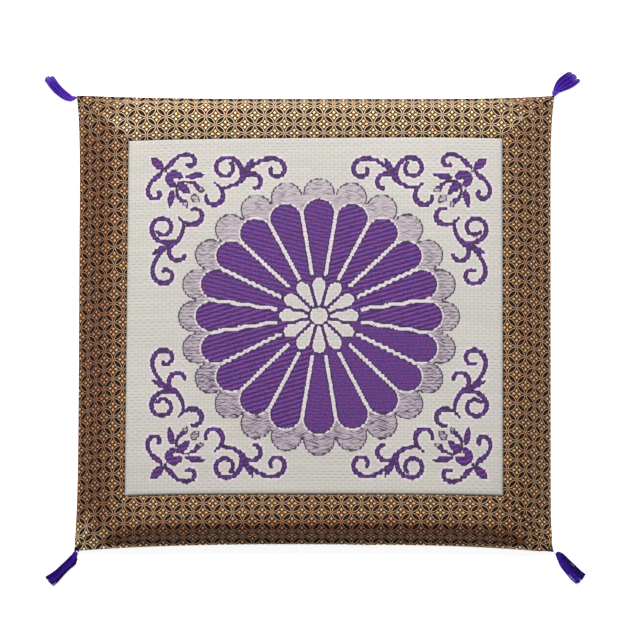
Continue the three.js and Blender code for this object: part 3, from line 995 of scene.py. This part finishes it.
def border_strip(side, settings, material):
    """One mitred strip of brocade, rolled under at the seam."""
    reach = 1 - BUTT_GAP * math.sqrt(2) / HALF_PANEL
    t = crowded(STRIP_COLUMNS, END_CROWDING) * reach
    spread = np.linspace(0, 1, STRIP_ROWS + 1)
    inward = (BORDER_WIDTH + TUCK) * lerp(spread, spread ** 2, SEAM_CROWDING)
    over, thickness = strip_top(side, t, inward)
    under = over.copy()
    under[..., 2] -= thickness
    outward = np.array([*side["outward"], 0.0])
    down = np.array([0.0, 0.0, -1.0])
    rolled = []
    tucked = []
    for row in SEAM_ROLL:
        rolled.append(over[0] + outward * row["out"] + down * row["drop"])
        inset = ROLL_INSET - row["out"] * ROLL_INNER_OUT
        tucked.append(under[0] - outward * inset + down * row["drop"] * ROLL_INNER_DROP)
    over = np.concatenate([rolled, over])
    shell = Shell()
    rim = rim_of(shell.add(over))[::-1]
    count = shell.count
    shell.add(np.concatenate([tucked, under]), flipped=True)
    shell.faces += np.stack([rim[:-1], rim[1:], rim[1:] + count, rim[:-1] + count], axis=-1).tolist()
    made = shell.finish("brocade_" + side["name"], material)
    places = strip_cloth_places(side, over, settings).reshape(-1, 2)
    write_uv(made.data, np.concatenate([places, places]))
    # Each point carries the painted light and shade that scales the brocade's colour.
    lustre = strip_painted_light(side, t, inward)
    lustre = np.concatenate([np.repeat(lustre[:1], len(SEAM_ROLL), axis=0), lustre])
    write_attribute(made.data, "lustre", np.tile(lustre.ravel(), 2))
    return made


def strip_cloth_places(side, points, settings):
    """Cloth coordinates of a strip: along the side, and out from the panel over the surface."""
    along = points[..., :2] @ np.array(side["along"], float)
    outward = points[..., :2] @ np.array(side["outward"], float)
    steps = np.hypot(np.diff(outward, axis=0), np.diff(points[..., 2], axis=0))
    across = np.zeros(along.shape)
    across[:-1] = np.cumsum(steps[::-1], axis=0)[::-1]
    along += side["along_phase"] * settings.repeat_along / 2 / MM
    across += side["across_phase"] * settings.repeat_across / 2 / MM - TUCK - BUTT_GAP
    return np.stack([along, across], axis=-1)


def strip_painted_light(side, t, inward):
    """Painted light and shade on a strip's colour, rows across and columns along."""
    lustre = read_section(PAINTED_LIGHT_SECTION, side["name"], inward)[:, None]
    for end, to_end in (("start", -t), ("end", t)):
        corner = CORNER_PAINTED_LIGHT[side[end]]
        near = smoothstep(to_end, *corner["along"]) * smoothstep(inward, *corner["inward"])[:, None]
        lustre = lerp(lustre, corner["lustre"], near)
    return lustre


class ZABUTON_OT_border(bpy.types.Operator):
    """Sew on the four mitred strips of brocade"""

    bl_idname = "zabuton.border"
    bl_label = "Brocade border"

    def execute(self, context):
        settings = context.scene.zabuton_brocade
        material = brocade_material(settings)
        for side in SIDES:
            strip = border_strip(side, settings, material)
            settle(strip, "border_" + side["name"])
        return {"FINISHED"}


def nearest_ray(x, y, count):
    """Distance out and off from the nearest of some even rays, and that ray's clockwise angle."""
    out = np.hypot(x, y)
    angle = np.degrees(np.arctan2(x, y))
    step = 360 / count
    middle = np.round(angle / step) * step
    turn = np.radians(angle - middle)
    return out * np.cos(turn), out * np.abs(np.sin(turn)), middle


def petal_ring(x, y, ring):
    """How far inside the nearest petal of a ring each place lies, and that petal's direction."""
    forward, across, middle = nearest_ray(x, y, ring["count"])
    spread = math.tan(math.pi / ring["count"])
    side = forward * spread - ring["line"] / 2 - across
    round_from = ring["end"] - ring["round"]
    widest = round_from * spread - ring["line"] / 2
    beyond = (forward - round_from).clip(0) / ring["round"]
    rounded = (1 - np.hypot(beyond, across / widest)) * ring["round"]
    return np.where(forward > round_from, rounded, side), middle


def flower_depths(x, y):
    """Depth inside the purple of the flower, and the direction of the nearest petal."""
    out = np.hypot(x, y)
    petal, middle = petal_ring(x, y, OUTER_PETALS)
    purple = np.maximum(petal, OUTER_PETALS["start"] - out)
    inner, _ = petal_ring(x, y, INNER_PETALS)
    inner = np.minimum(inner, out - INNER_PETALS["start"])
    cream = np.maximum(inner, FLOWER_EYE - out)
    return np.minimum(purple, -cream), middle % 360


def scallop_depths(x, y, purple):
    """Depth inside the pale scalloped ring, clear of the petals, and inside its outer edge."""
    x = x / SCALLOPS["narrowed"]
    out = np.hypot(x, y)
    forward, across, _ = nearest_ray(x, y, SCALLOPS["count"])
    edge = SCALLOPS["radius"] - np.hypot(across, forward - SCALLOPS["centre"])
    edge = np.maximum(edge, SCALLOPS["centre"] - out)
    return np.minimum(np.minimum(edge, out - HAZE_START), -PETAL_CLEAR - purple), edge


def tendril_depth(u, v, row):
    """How far inside a tendril, whose heading turns faster and faster, each place lies."""
    steps = row["length"] + 1
    share = (np.arange(steps) + 0.5) / steps
    way = np.radians(row["way"] + row["turn"] * share ** row["curl"])
    path_u = row["u"] + np.cumsum(np.cos(way)) * row["length"] / steps
    path_v = row["v"] + np.cumsum(np.sin(way)) * row["length"] / steps
    halves = np.interp(share, (0, 0.5, 1), row["widths"]) / 2
    depth = np.full(u.shape, -DEPTH_LIMIT)
    reach = DEPTH_LIMIT + halves.max()
    near = ((u > path_u.min() - reach) & (u < path_u.max() + reach)
            & (v > path_v.min() - reach) & (v < path_v.max() + reach))
    u, v, best = u[near], v[near], depth[near]
    for place_u, place_v, half in zip(path_u, path_v, halves):
        best = np.maximum(best, half - np.hypot(u - place_u, v - place_v))
    depth[near] = best
    return depth


def leaf_depth(u, v, row):
    """How far inside a pointed leaf, fuller towards its base, each place lies."""
    base, tip = np.array(row["base"]), np.array(row["tip"])
    length = np.linalg.norm(tip - base)
    way = (tip - base) / length
    share = ((u - base[0]) * way[0] + (v - base[1]) * way[1]) / length
    across = np.abs((v - base[1]) * way[0] - (u - base[0]) * way[1])
    fullness = np.sin(np.pi * np.clip(share, 0, 1) ** LEAF_LEAN) ** LEAF_FULLNESS
    inside = row["width"] / 2 * fullness - across
    return np.minimum(inside, length * np.minimum(share, 1 - share))


def deepest(rows, depth_of, u, v):
    """The greatest depth inside any of a table's forms, with their mirrored pairs."""
    best = np.full(u.shape, -DEPTH_LIMIT)
    for row in rows:
        best = np.maximum(best, depth_of(u, v, row))
        if row["pair"]:
            best = np.maximum(best, depth_of(u, -v, row))
    return best


def spray_depths(x, y):
    """Depth inside the purple and the pale parts of the four corner sprays."""
    x = np.abs(x) - SPRAY_MIDDLE[0]
    y = np.abs(y) - SPRAY_MIDDLE[1]
    u, v = (x + y) / math.sqrt(2), (y - x) / math.sqrt(2)
    purple = np.maximum(deepest(TENDRILS, tendril_depth, u, v), deepest(LEAVES, leaf_depth, u, v))
    return purple, deepest(PALE_LEAVES, leaf_depth, u, v)


def weave_chart(x, y):
    """The woven design: depth inside its purple and pale parts, and its twill."""
    purple, direction = flower_depths(x, y)
    pale, edge = scallop_depths(x, y, purple)
    outside = np.hypot(x, y) > OUTER_PETALS["end"]
    spray, spray_pale = spray_depths(x[outside], y[outside])
    purple[outside] = np.maximum(purple[outside], spray)
    edge[outside] = np.where(spray_pale > -OWN_EDGE, spray_pale, edge[outside])
    pale[outside] = np.maximum(pale[outside], spray_pale)
    chart = {"purple": purple, "pale": pale, "pale_edge": edge}
    for name in chart:
        chart[name] = chart[name].clip(-DEPTH_LIMIT, DEPTH_LIMIT)
    row = np.searchsorted([row["until"] for row in TWILL], direction)
    for name in ("rise", "strength"):
        chart[name] = np.array([line[name] for line in TWILL])[row]
        chart[name][outside] = SPRAY_TWILL[name]
    return chart


# Relief of the rush panel, in millimetres: raised courses, slow swells that bend one another,
# and its edge. The underside is coarser than the top by UNDERSIDE_STEP.
COURSE_RELIEF = 0.12
UNEVENNESS = 0.35
SWELLS_ACROSS = {"length": 41, "bend": 1.3, "bend_length": 67}
SWELLS_ALONG = {"length": 53, "bend": 0.8, "bend_length": 59}
PANEL_EDGE_FALL = 2.4
PANEL_EDGE_WIDTH = 1.6
PANEL_SIDE = 550
UNDERSIDE_STEP = 3
LEAST_THICKNESS = 0.6


def to_ends(count):
    """Distance to the nearer end of the panel's side, in that many steps along it."""
    step = np.arange(count + 1)
    return np.minimum(step, count - step) * PANEL_SIDE / count


def slow_swell(here, beside, swell):
    return np.sin(here / swell["length"] + swell["bend"] * np.sin(beside / swell["bend_length"]))


def rush_relief(bed):
    """Top of the rush: raised courses, soft unevenness and an edge that goes down in the ditch."""
    over = bed.copy()
    rows, columns = bed.shape[0] - 1, bed.shape[1] - 1
    valley = (np.arange(rows + 1) % ROWS_PER_COURSE == 0)[:, None]
    x, y = bed[..., 0], bed[..., 1]
    uneven = slow_swell(x, y, SWELLS_ACROSS) * slow_swell(y, x, SWELLS_ALONG)
    near = np.minimum(to_ends(columns)[None, :], to_ends(rows)[:, None])
    over[..., 2] += LAY_GAP + RUSH_THICKNESS - COURSE_RELIEF * valley + UNEVENNESS * uneven
    over[..., 2] -= PANEL_EDGE_FALL * np.exp(-near / PANEL_EDGE_WIDTH)
    return over


def rush_panel(settings, material):
    """The rush panel, with a coarser underside joined to its top by faces round the rim."""
    columns, rows, step = CHART_COLUMNS, CHART_ROWS, UNDERSIDE_STEP
    bed = panel_bed(np.linspace(-1, 1, columns + 1), np.linspace(-1, 1, rows + 1))
    bed[..., :2] *= 1 - BUTT_GAP / HALF_PANEL
    over = rush_relief(bed)
    under = bed[::step, ::step].copy()
    under[..., 2] = np.minimum(under[..., 2] + LAY_GAP, over[::step, ::step, 2] - LEAST_THICKNESS)
    shell = Shell()
    fine = rim_of(shell.add(over)).tolist()
    coarse = rim_of(shell.add(under, flipped=True)).tolist()
    for k, (start, end) in enumerate(zip(coarse[:-1], coarse[1:])):
        shell.faces.append([start, end, *fine[step * k:step * (k + 1) + 1][::-1]])
    made = shell.finish("rush_face", material)
    write_chart(made.data, over[..., 0] - FLOWER_MIDDLE[0], over[..., 1] - FLOWER_MIDDLE[1])
    grid_x, grid_y = np.meshgrid(
        np.arange(columns + 1) * 2 * HALF_PANEL / columns,
        np.arange(rows + 1) * settings.course_pitch / MM / ROWS_PER_COURSE)
    places = np.stack([grid_x, grid_y], axis=-1)
    beneath = places[::step, ::step]
    write_uv(made.data, np.concatenate([places.reshape(-1, 2), beneath.reshape(-1, 2)]))
    return made


def write_chart(mesh, x, y):
    """Writes the woven design on the face corners, so that each course of rush steps its edge."""
    rows = len(y) - 1
    course = np.arange(rows) // ROWS_PER_COURSE * ROWS_PER_COURSE
    middle = (y[course] + y[np.minimum(course + ROWS_PER_COURSE, rows)]) / 2
    low = weave_chart(x[:-1], lerp(y[:-1], middle, COURSE_STEPPING))
    high = weave_chart(x[1:], lerp(y[1:], middle, COURSE_STEPPING))
    for name in low:
        below, above = low[name], high[name]
        corners = np.stack([below[:, :-1], below[:, 1:], above[:, 1:], above[:, :-1]], axis=-1)
        values = np.full(len(mesh.loops), -DEPTH_LIMIT)
        values[:corners.size] = corners.ravel()
        write_attribute(mesh, name, values, "CORNER")


class ZABUTON_OT_rush_face(bpy.types.Operator):
    """Weave the rush panel with its flower and corner sprays"""

    bl_idname = "zabuton.rush_face"
    bl_label = "Rush face"

    def execute(self, context):
        settings = context.scene.zabuton_rush
        made = rush_panel(settings, rush_material(settings))
        settle(made, "rush_panel")
        return {"FINISHED"}


BODY_COLUMNS = 72
BODY_ROWS = 24
UNDER_ROWS = 9
TOP_CLEARANCE = 0.7
DITCH_DEPTH = 2.5
WELD_DISTANCE = 0.02

# While it swells, the cover is held up to FLOOR_GRIP over the floor and from SEAM_GRIP over the
# seam. Where it faces further up than LEAST_FACING, it is put back under the cloths.
FLOOR_GRIP = 0.4
SEAM_GRIP = 20.0
LEAST_FACING = -0.3
SWELL_FRAMES = 20
FILLING = {
    "quality": 6,
    "mass": 0.3,
    "use_pressure": True,
    "uniform_pressure_force": 4.0,
    "tension_stiffness": 20,
    "compression_stiffness": 20,
    "shear_stiffness": 8,
    "bending_stiffness": 0.6,
    "shrink_min": -0.03,
    "vertex_group_mass": "held",
}


def cushion_shell():
    """The filled body's shell: top, four sloping sides, rim and underside.

    It isn't quite closed: slits of up to 0.1 mm, wider than WELD_DISTANCE, stay open where the top
    meets the sides, below the rush panel's edge.
    """
    t = crowded(BODY_COLUMNS, END_CROWDING)
    inward = BORDER_WIDTH * np.linspace(0, 1, BODY_ROWS + 1)
    under_inward = UNDER_SECTION[-1]["inward"] * np.linspace(0, 1, UNDER_ROWS + 1)
    shell = Shell()
    top = panel_bed(t, t)
    edge = np.ones(top.shape[:2], bool)
    edge[1:-1, 1:-1] = False
    top[edge, 2] -= DITCH_DEPTH
    top[..., 2] -= TOP_CLEARANCE
    shell.add(top)
    flat_edges = []
    for side in SIDES:
        slope = border_bed(side, t, inward)
        slope[..., 2] -= TOP_CLEARANCE * (inward > 0)[:, None]
        shell.add(slope)
        under = border_bed(side, t, under_inward)
        share = read_section(UNDER_SECTION, "share", under_inward)[:, None]
        under[..., 2] = (SEAM_HEIGHT - corner_drop(t) - RIM_THICKNESS)[None, :] * share
        shell.add(under, flipped=True)
        shell.add(np.stack([under[0], slope[0]]))
        flat_edges.append(under[-1])
    shell.add(filled_patch(*flat_edges, (t + 1) / 2), flipped=True)
    return shell


def filled_patch(front, right, back, left, share):
    """A smooth patch of points between four edges that go round it."""
    f = share[:, None, None]
    g = share[None, :, None]
    upward = lerp(front[None, :, :], back[::-1][None, :, :], f)
    across = lerp(left[::-1][:, None, :], right[:, None, :], g)
    corners = lerp(lerp(front[0], front[-1], g), lerp(back[-1], back[0], g), f)
    return upward + across - corners


def swell(made, limit):
    """Cloth simulation of the filled cover, held where it lies, with its movement capped."""
    rest = np.array([v.co for v in made.data.vertices])
    height = rest[:, 2] / MM
    grip = (height < FLOOR_GRIP) | (height > SEAM_HEIGHT + SEAM_GRIP)
    held = made.vertex_groups.new(name="held")
    for weight in (0.0, 1.0):
        held.add(np.nonzero(grip == weight)[0].tolist(), weight, "REPLACE")
    cloth = made.modifiers.new("filling", "CLOTH")
    for name, value in FILLING.items():
        setattr(cloth.settings, name, value)
    cloth.settings.effector_weights.gravity = 0
    cloth.collision_settings.use_collision = False
    cloth.point_cache.frame_start = 1
    cloth.point_cache.frame_end = SWELL_FRAMES
    scene = bpy.context.scene
    for step in range(1, SWELL_FRAMES + 1):
        scene.frame_set(step)
    view = bpy.context.evaluated_depsgraph_get()
    moved = np.array([v.co for v in made.evaluated_get(view).data.vertices])
    scene.frame_set(1)
    made.modifiers.remove(cloth)
    shift = moved - rest
    length = np.linalg.norm(shift, axis=1, keepdims=True)
    shift *= limit * np.tanh(length / limit) / np.maximum(length, 1e-9)
    placed = rest + shift
    facing = np.array([v.normal for v in made.data.vertices])[:, 2]
    covered = facing > LEAST_FACING
    placed[covered] = rest[covered]
    placed[:, 2] = np.maximum(placed[:, 2], 0.0)
    made.data.vertices.foreach_set("co", placed.astype(np.float32).ravel())
    made.data.update()


def weld(made, distance):
    """Joins points that meet."""
    work = bmesh.new()
    work.from_mesh(made.data)
    bmesh.ops.remove_doubles(work, verts=work.verts, dist=distance)
    work.to_mesh(made.data)
    work.free()
    made.data.shade_smooth()


def apply_modifiers(made):
    view = bpy.context.evaluated_depsgraph_get()
    finished = bpy.data.meshes.new_from_object(made.evaluated_get(view), depsgraph=view)
    made.modifiers.clear()
    old = made.data
    made.data = finished
    bpy.data.meshes.remove(old)
    finished.name = made.name


class ZABUTON_OT_cushion(bpy.types.Operator):
    """Fill the cushion and sew up its plain back"""

    bl_idname = "zabuton.cushion"
    bl_label = "Filled cushion"

    def execute(self, context):
        settings = context.scene.zabuton_cushion
        made = cushion_shell().finish("cushion", back_cloth_material(settings))
        weld(made, WELD_DISTANCE * MM)
        swell(made, settings.swell)
        smooth = made.modifiers.new("finer", "SUBSURF")
        smooth.levels = smooth.render_levels = 1
        apply_modifiers(made)
        settle(made, "cushion_body")
        return {"FINISHED"}


# Threads of a tassel, in millimetres where they are lengths: its clumps, the share of its length
# over which they come loose and spread, and how much chance moves each thread.
CLUMPS = 9
CLUMP_TIGHTNESS = 0.82
CLUMP_RAISE = 0.7
CLUMP_SHORTER = 1.4
CLUMP_ROUNDING = 0.7
LAYER_ROUNDING = 0.75
THREAD_STEPS = 12
THREAD_SIDES = 4
THREAD_SEEDS = 40
LOOSE = (0.2, 0.6)
SPREAD_BY = 0.25
NECK_SPREAD = 0.55
WAVE = 0.4
WAVES = 7
STRAY_ACROSS = 0.02
STRAY_UP = 0.04
WANDER = 0.15
END_UNEVENNESS = 0.7
END_TAPER = 0.7
CLUMP_TONE = 0.75

# The neck hangs at the seam's corner and the bundle comes down to the floor over this share.
NECK_HEIGHT = 7.2
FALL_SHARE = 0.30
NECK_SHARES = (0.03, 0.16)
NECK_STEPS = 7
BINDING_TURNS = 6
BINDING = {"steps": 84, "radius": 0.5, "sides": 5, "proud": 0.25, "half_height": 0.62, "shade": 0.9}
LOOP = {"steps": 17, "from": -60, "to": 240, "radius": 2.8, "aside": 0.9, "behind": 2.6,
        "height": 9.4, "slope": 1.6, "thread": 0.9, "sides": 6, "shade": 0.7}
TIE = {"steps": 6, "inset": 1.5, "spread": 0.35, "drop": 0.5, "climb": 0.6, "thread": 0.35,
       "sides": 5, "shade": 0.4}


def smooth_path(rows, shares):
    """A smooth curve through the rows of a table, read at shares of its length in plan."""
    rows = np.array(rows, float)
    lengths = np.concatenate([[0], np.cumsum(np.hypot(*np.diff(rows[:, :2], axis=0).T))])
    at = lengths / lengths[-1]
    return np.stack([smooth_curve(at, column, shares) for column in rows.T], axis=-1)


def sideways(curve):
    """Level directions across a path."""
    way = np.gradient(curve[:, :2], axis=0)
    way /= np.linalg.norm(way, axis=1, keepdims=True)
    return np.stack([-way[:, 1], way[:, 0]], axis=-1)


def ground_under(share):
    """Height of the bundle's lowest threads at shares of its length."""
    return lerp(NECK_HEIGHT, 0.0, smoothstep(share, 0.0, FALL_SHARE))


class Bundle(Shell):
    """Collects the tubes of one tassel, with each point's thread shade and place along it."""

    def __init__(self):
        super().__init__()
        self.thread = []
        self.along = []

    def tube(self, path, radius, sides, thread, end_radius=None):
        """A closed tube along a path in millimetres, whose last ring may be thinner.

        Known fault: its faces are wound inward, so their normals point into the thread.
        """
        radii = np.full(len(path), radius)
        if end_radius:
            radii[-1] = end_radius
        way = np.gradient(path, axis=0)
        way /= np.linalg.norm(way, axis=1, keepdims=True)
        side = np.cross(way, (0, 0, 1))
        side /= np.maximum(np.linalg.norm(side, axis=1, keepdims=True), 1e-6)
        up = np.cross(side, way)
        angle = math.tau * (np.arange(sides) + 0.5) / sides
        ring = (side[:, None, :] * np.cos(angle)[None, :, None]
                + up[:, None, :] * np.sin(angle)[None, :, None])
        points = path[:, None, :] + ring * radii[:, None, None]
        index = self.count + np.arange(len(path) * sides).reshape(len(path), sides)
        turned = np.roll(index, -1, axis=1)
        walls = np.stack([index[:-1], turned[:-1], turned[1:], index[1:]], axis=-1)
        self.points.append(points.reshape(-1, 3))
        self.faces += [*walls.reshape(-1, 4).tolist(), index[0, ::-1].tolist(), index[-1].tolist()]
        self.count += index.size
        self.thread += [thread] * index.size
        self.along += np.repeat(np.linspace(0, 1, len(path)), sides).tolist()

    def finish(self, name, material):
        made = super().finish(name, material)
        write_attribute(made.data, "thread", self.thread)
        write_attribute(made.data, "along", self.along)
        return made


def tassel_threads(tassel, settings, bundle, chance):
    """Threads in clumps, each with its own shade, height and waviness."""
    radius = settings.thread_radius / MM
    notch = np.array(NOTCHES[tassel["notch"]])
    shares = np.linspace(0, 1, THREAD_STEPS + 1)
    loose = smoothstep(shares, *LOOSE)
    spread = lerp(NECK_SPREAD, 1.0, smoothstep(shares, 0, SPREAD_BY))
    total = np.sum(np.hypot(*np.diff(np.array(tassel["middle"])[:, :2], axis=0).T))
    shade = chance.permutation(CLUMPS) / (CLUMPS - 1)
    raised = chance.uniform(-CLUMP_RAISE, CLUMP_RAISE, CLUMPS)
    shorter = chance.uniform(0, CLUMP_SHORTER, CLUMPS)
    phase = chance.uniform(0, math.tau, CLUMPS)
    for layer in range(settings.layers):
        level = (layer + 0.5) / settings.layers
        room = math.sqrt(1 - (2 * level - 1) ** 2 * LAYER_ROUNDING)
        count = max(3, round(settings.columns * room))
        for i in range(count):
            place = (2 * i / (count - 1) - 1) * room
            clump = min(int((place + 1) / 2 * CLUMPS), CLUMPS - 1)
            middle = (clump + 0.5) / CLUMPS * 2 - 1
            aside = (place - middle) * CLUMPS
            place = middle + aside / CLUMPS * CLUMP_TIGHTNESS
            place += chance.uniform(-STRAY_ACROSS, STRAY_ACROSS)
            lift = np.clip(level + chance.uniform(-STRAY_UP, STRAY_UP), 0, 1)
            end = 1 + (np.interp(place, notch[:, 0], notch[:, 1]) - shorter[clump]
                       - chance.uniform(0, END_UNEVENNESS)) / total
            curve = smooth_path(tassel["middle"], shares * min(end, 1.0))
            wave = WAVE * np.sin(shares * WAVES + phase[clump]) + chance.uniform(-WANDER, WANDER)
            offset = place * (curve[:, 2] - radius) + wave * loose
            height = ground_under(shares) + radius + lift * 2 * (curve[:, 3] - radius) * spread
            height += lift * loose * (raised[clump] - CLUMP_ROUNDING * aside * aside)
            path = np.column_stack([curve[:, :2] + sideways(curve) * offset[:, None],
                                    np.maximum(height, radius)])
            tone = CLUMP_TONE * shade[clump] + chance.uniform(0, 1 - CLUMP_TONE)
            bundle.tube(path, radius, THREAD_SIDES, tone, end_radius=radius * END_TAPER)


def tassel_loop(tassel, bundle):
    """The small loop of thread that holds the tassel, open where it leaves the seam."""
    turn = np.radians(np.linspace(LOOP["from"], LOOP["to"], LOOP["steps"]))
    x, y = tassel["middle"][0][:2]
    path = np.column_stack([
        x + LOOP["aside"] + LOOP["radius"] * np.cos(turn),
        y + LOOP["behind"] + LOOP["radius"] * np.sin(turn),
        LOOP["height"] + LOOP["slope"] * np.sin(turn)])
    for above in (0.0, LOOP["thread"]):
        bundle.tube(path + (0, 0, above), LOOP["thread"], LOOP["sides"], LOOP["shade"])


def tassel_tie(tassel, bundle):
    """The two threads between the neck and the corner of the seam."""
    corner = np.array(SEAM_CORNERS[tassel["name"].removeprefix("tassel_")])
    inset = np.sign(corner) / math.sqrt(2) * TIE["inset"]
    share = np.linspace(0, 1, TIE["steps"])[:, None]
    plan = lerp(corner - inset, np.array(tassel["middle"][0][:2]) + inset, share)
    for lift in (-TIE["spread"], TIE["spread"]):
        height = SEAM_HEIGHT - CORNER_DROP - TIE["drop"] + lift + TIE["climb"] * share
        bundle.tube(np.hstack([plan, height]), TIE["thread"], TIE["sides"], TIE["shade"])


def tassel_binding(tassel, bundle):
    """Cord wound round the neck."""
    curve = smooth_path(tassel["middle"], np.linspace(*NECK_SHARES, NECK_STEPS))
    turns = np.linspace(0, math.tau * BINDING_TURNS, BINDING["steps"])
    share = turns / turns[-1]
    known = np.linspace(0, 1, NECK_STEPS)
    middle = np.column_stack([np.interp(share, known, column) for column in curve.T])
    side = np.column_stack([np.interp(share, known, column) for column in sideways(curve).T])
    out = np.cos(turns) * (middle[:, 2] + BINDING["proud"])
    half_height = middle[:, 3] * BINDING["half_height"]
    height = ground_under(lerp(*NECK_SHARES, share)) + half_height + np.sin(turns) * half_height
    path = np.column_stack([middle[:, :2] + side * out[:, None],
                            np.maximum(height, BINDING["radius"])])
    bundle.tube(path, BINDING["radius"], BINDING["sides"], BINDING["shade"])


class ZABUTON_OT_tassels(bpy.types.Operator):
    """Tie a silk tassel to each corner"""

    bl_idname = "zabuton.tassels"
    bl_label = "Silk tassels"

    def execute(self, context):
        settings = context.scene.zabuton_tassels
        # One silk in two copies: painted in shade for the front tassels and painted lit for the back
        # ones.
        shaded_and_lit_silks = {
            True: silk_material(
                "silk_front", settings.front_silk, settings.front_shadow, settings.front_gleam),
            False: silk_material(
                "silk_back", settings.back_silk, settings.back_shadow, settings.back_gleam),
        }
        for number, tassel in enumerate(TASSELS):
            chance = np.random.default_rng(THREAD_SEEDS + number)
            bundle = Bundle()
            tassel_threads(tassel, settings, bundle, chance)
            tassel_binding(tassel, bundle)
            if tassel["loop"]:
                tassel_loop(tassel, bundle)
            else:
                tassel_tie(tassel, bundle)
            made = bundle.finish("silk_" + tassel["name"], shaded_and_lit_silks[tassel["front"]])
            settle(made, tassel["name"])
        return {"FINISHED"}


# The stage, in metres.
HALF_FLOOR = 30.0
KEY_PLACE = (-0.4, 3.1, 4.5)
KEY_SIZE = 3.2
CAMERA_AIM = (0.0068, 0.0079, 0.0)
SENSOR_WIDTH = 36.0


class ZABUTON_OT_stage(bpy.types.Operator):
    """Set the pale floor, the soft light and the camera"""

    bl_idname = "zabuton.stage"
    bl_label = "Stage"

    def execute(self, context):
        settings = context.scene.zabuton_stage
        context.scene.view_settings.view_transform = "Standard"
        add_floor(settings)
        add_sky(settings)
        add_key_light(settings)
        add_camera(settings)
        return {"FINISHED"}


def add_floor(settings):
    material, w = new_material("pale_floor")
    add_shader(w, {
        "Base Color": settings.floor,
        "Roughness": 0.9,
        "Specular IOR Level": 0.1,
        "Emission Color": WHITE,
        "Emission Strength": settings.floor_glow,
    })
    half = HALF_FLOOR / MM
    corners = [(-half, -half, 0), (half, -half, 0), (half, half, 0), (-half, half, 0)]
    make_object("floor", corners, [[0, 1, 2, 3]], material)


def add_sky(settings):
    """Even light all round, with a white backdrop where the camera sees past the floor."""
    world = bpy.data.worlds.new("studio")
    world.use_nodes = True
    w = Wiring(world.node_tree)
    seen = w.read(w.add("ShaderNodeLightPath"), "Is Camera Ray")
    strength = w.math("MULTIPLY_ADD", seen, 1 - settings.sky, settings.sky)
    sky = world.node_tree.nodes["Background"]
    sky.inputs["Color"].default_value = WHITE
    world.node_tree.links.new(strength.socket, sky.inputs["Strength"])
    bpy.context.scene.world = world


def add_key_light(settings):
    light = bpy.data.lights.new("key", "AREA")
    light.shape = "DISK"
    light.size = KEY_SIZE
    light.energy = settings.key_power
    made = link_object("key", light)
    made.location = KEY_PLACE
    made.rotation_euler = (-Vector(KEY_PLACE)).to_track_quat("-Z", "Y").to_euler()


def add_camera(settings):
    camera = bpy.data.cameras.new("camera")
    camera.sensor_width = SENSOR_WIDTH
    camera.lens = settings.lens
    distance = settings.view_width / camera.sensor_width * camera.lens
    camera.clip_start = 1.0
    camera.clip_end = distance * 3
    made = link_object("camera", camera)
    back = Vector((0, -math.cos(settings.tilt), math.sin(settings.tilt)))
    made.location = Vector(CAMERA_AIM) + back * distance
    made.rotation_euler = back.to_track_quat("Z", "Y").to_euler()
    bpy.context.scene.camera = made


class ZABUTON_PT_sidebar(bpy.types.Panel):
    """Lists the pieces of the cushion"""

    bl_idname = "ZABUTON_PT_sidebar"
    bl_label = "Zabuton"
    bl_space_type = "VIEW_3D"
    bl_region_type = "UI"
    bl_category = "Zabuton"

    def draw(self, context):
        for step in STEPS:
            box = self.layout.box()
            settings = getattr(context.scene, step["property"])
            for name in settings.__annotations__:
                box.prop(settings, name)
            box.operator("zabuton." + step["name"])


# The operators in the order in which they run, and where each one's settings are kept.
STEPS = table(
    "name operator property settings",
    ("stage", ZABUTON_OT_stage, "zabuton_stage", ZabutonStageSettings),
    ("cushion", ZABUTON_OT_cushion, "zabuton_cushion", ZabutonCushionSettings),
    ("rush_face", ZABUTON_OT_rush_face, "zabuton_rush", ZabutonRushSettings),
    ("border", ZABUTON_OT_border, "zabuton_brocade", ZabutonBrocadeSettings),
    ("tassels", ZABUTON_OT_tassels, "zabuton_tassels", ZabutonTasselSettings),
)


def register():
    for step in STEPS:
        bpy.utils.register_class(step["settings"])
        bpy.utils.register_class(step["operator"])
        setattr(bpy.types.Scene, step["property"], bpy.props.PointerProperty(type=step["settings"]))
    bpy.utils.register_class(ZABUTON_PT_sidebar)


def unregister():
    bpy.utils.unregister_class(ZABUTON_PT_sidebar)
    for step in reversed(STEPS):
        delattr(bpy.types.Scene, step["property"])
        bpy.utils.unregister_class(step["operator"])
        bpy.utils.unregister_class(step["settings"])


def main():
    register()
    for step in STEPS:
        getattr(bpy.ops.zabuton, step["name"])()


if __name__ == "__main__":
    main()
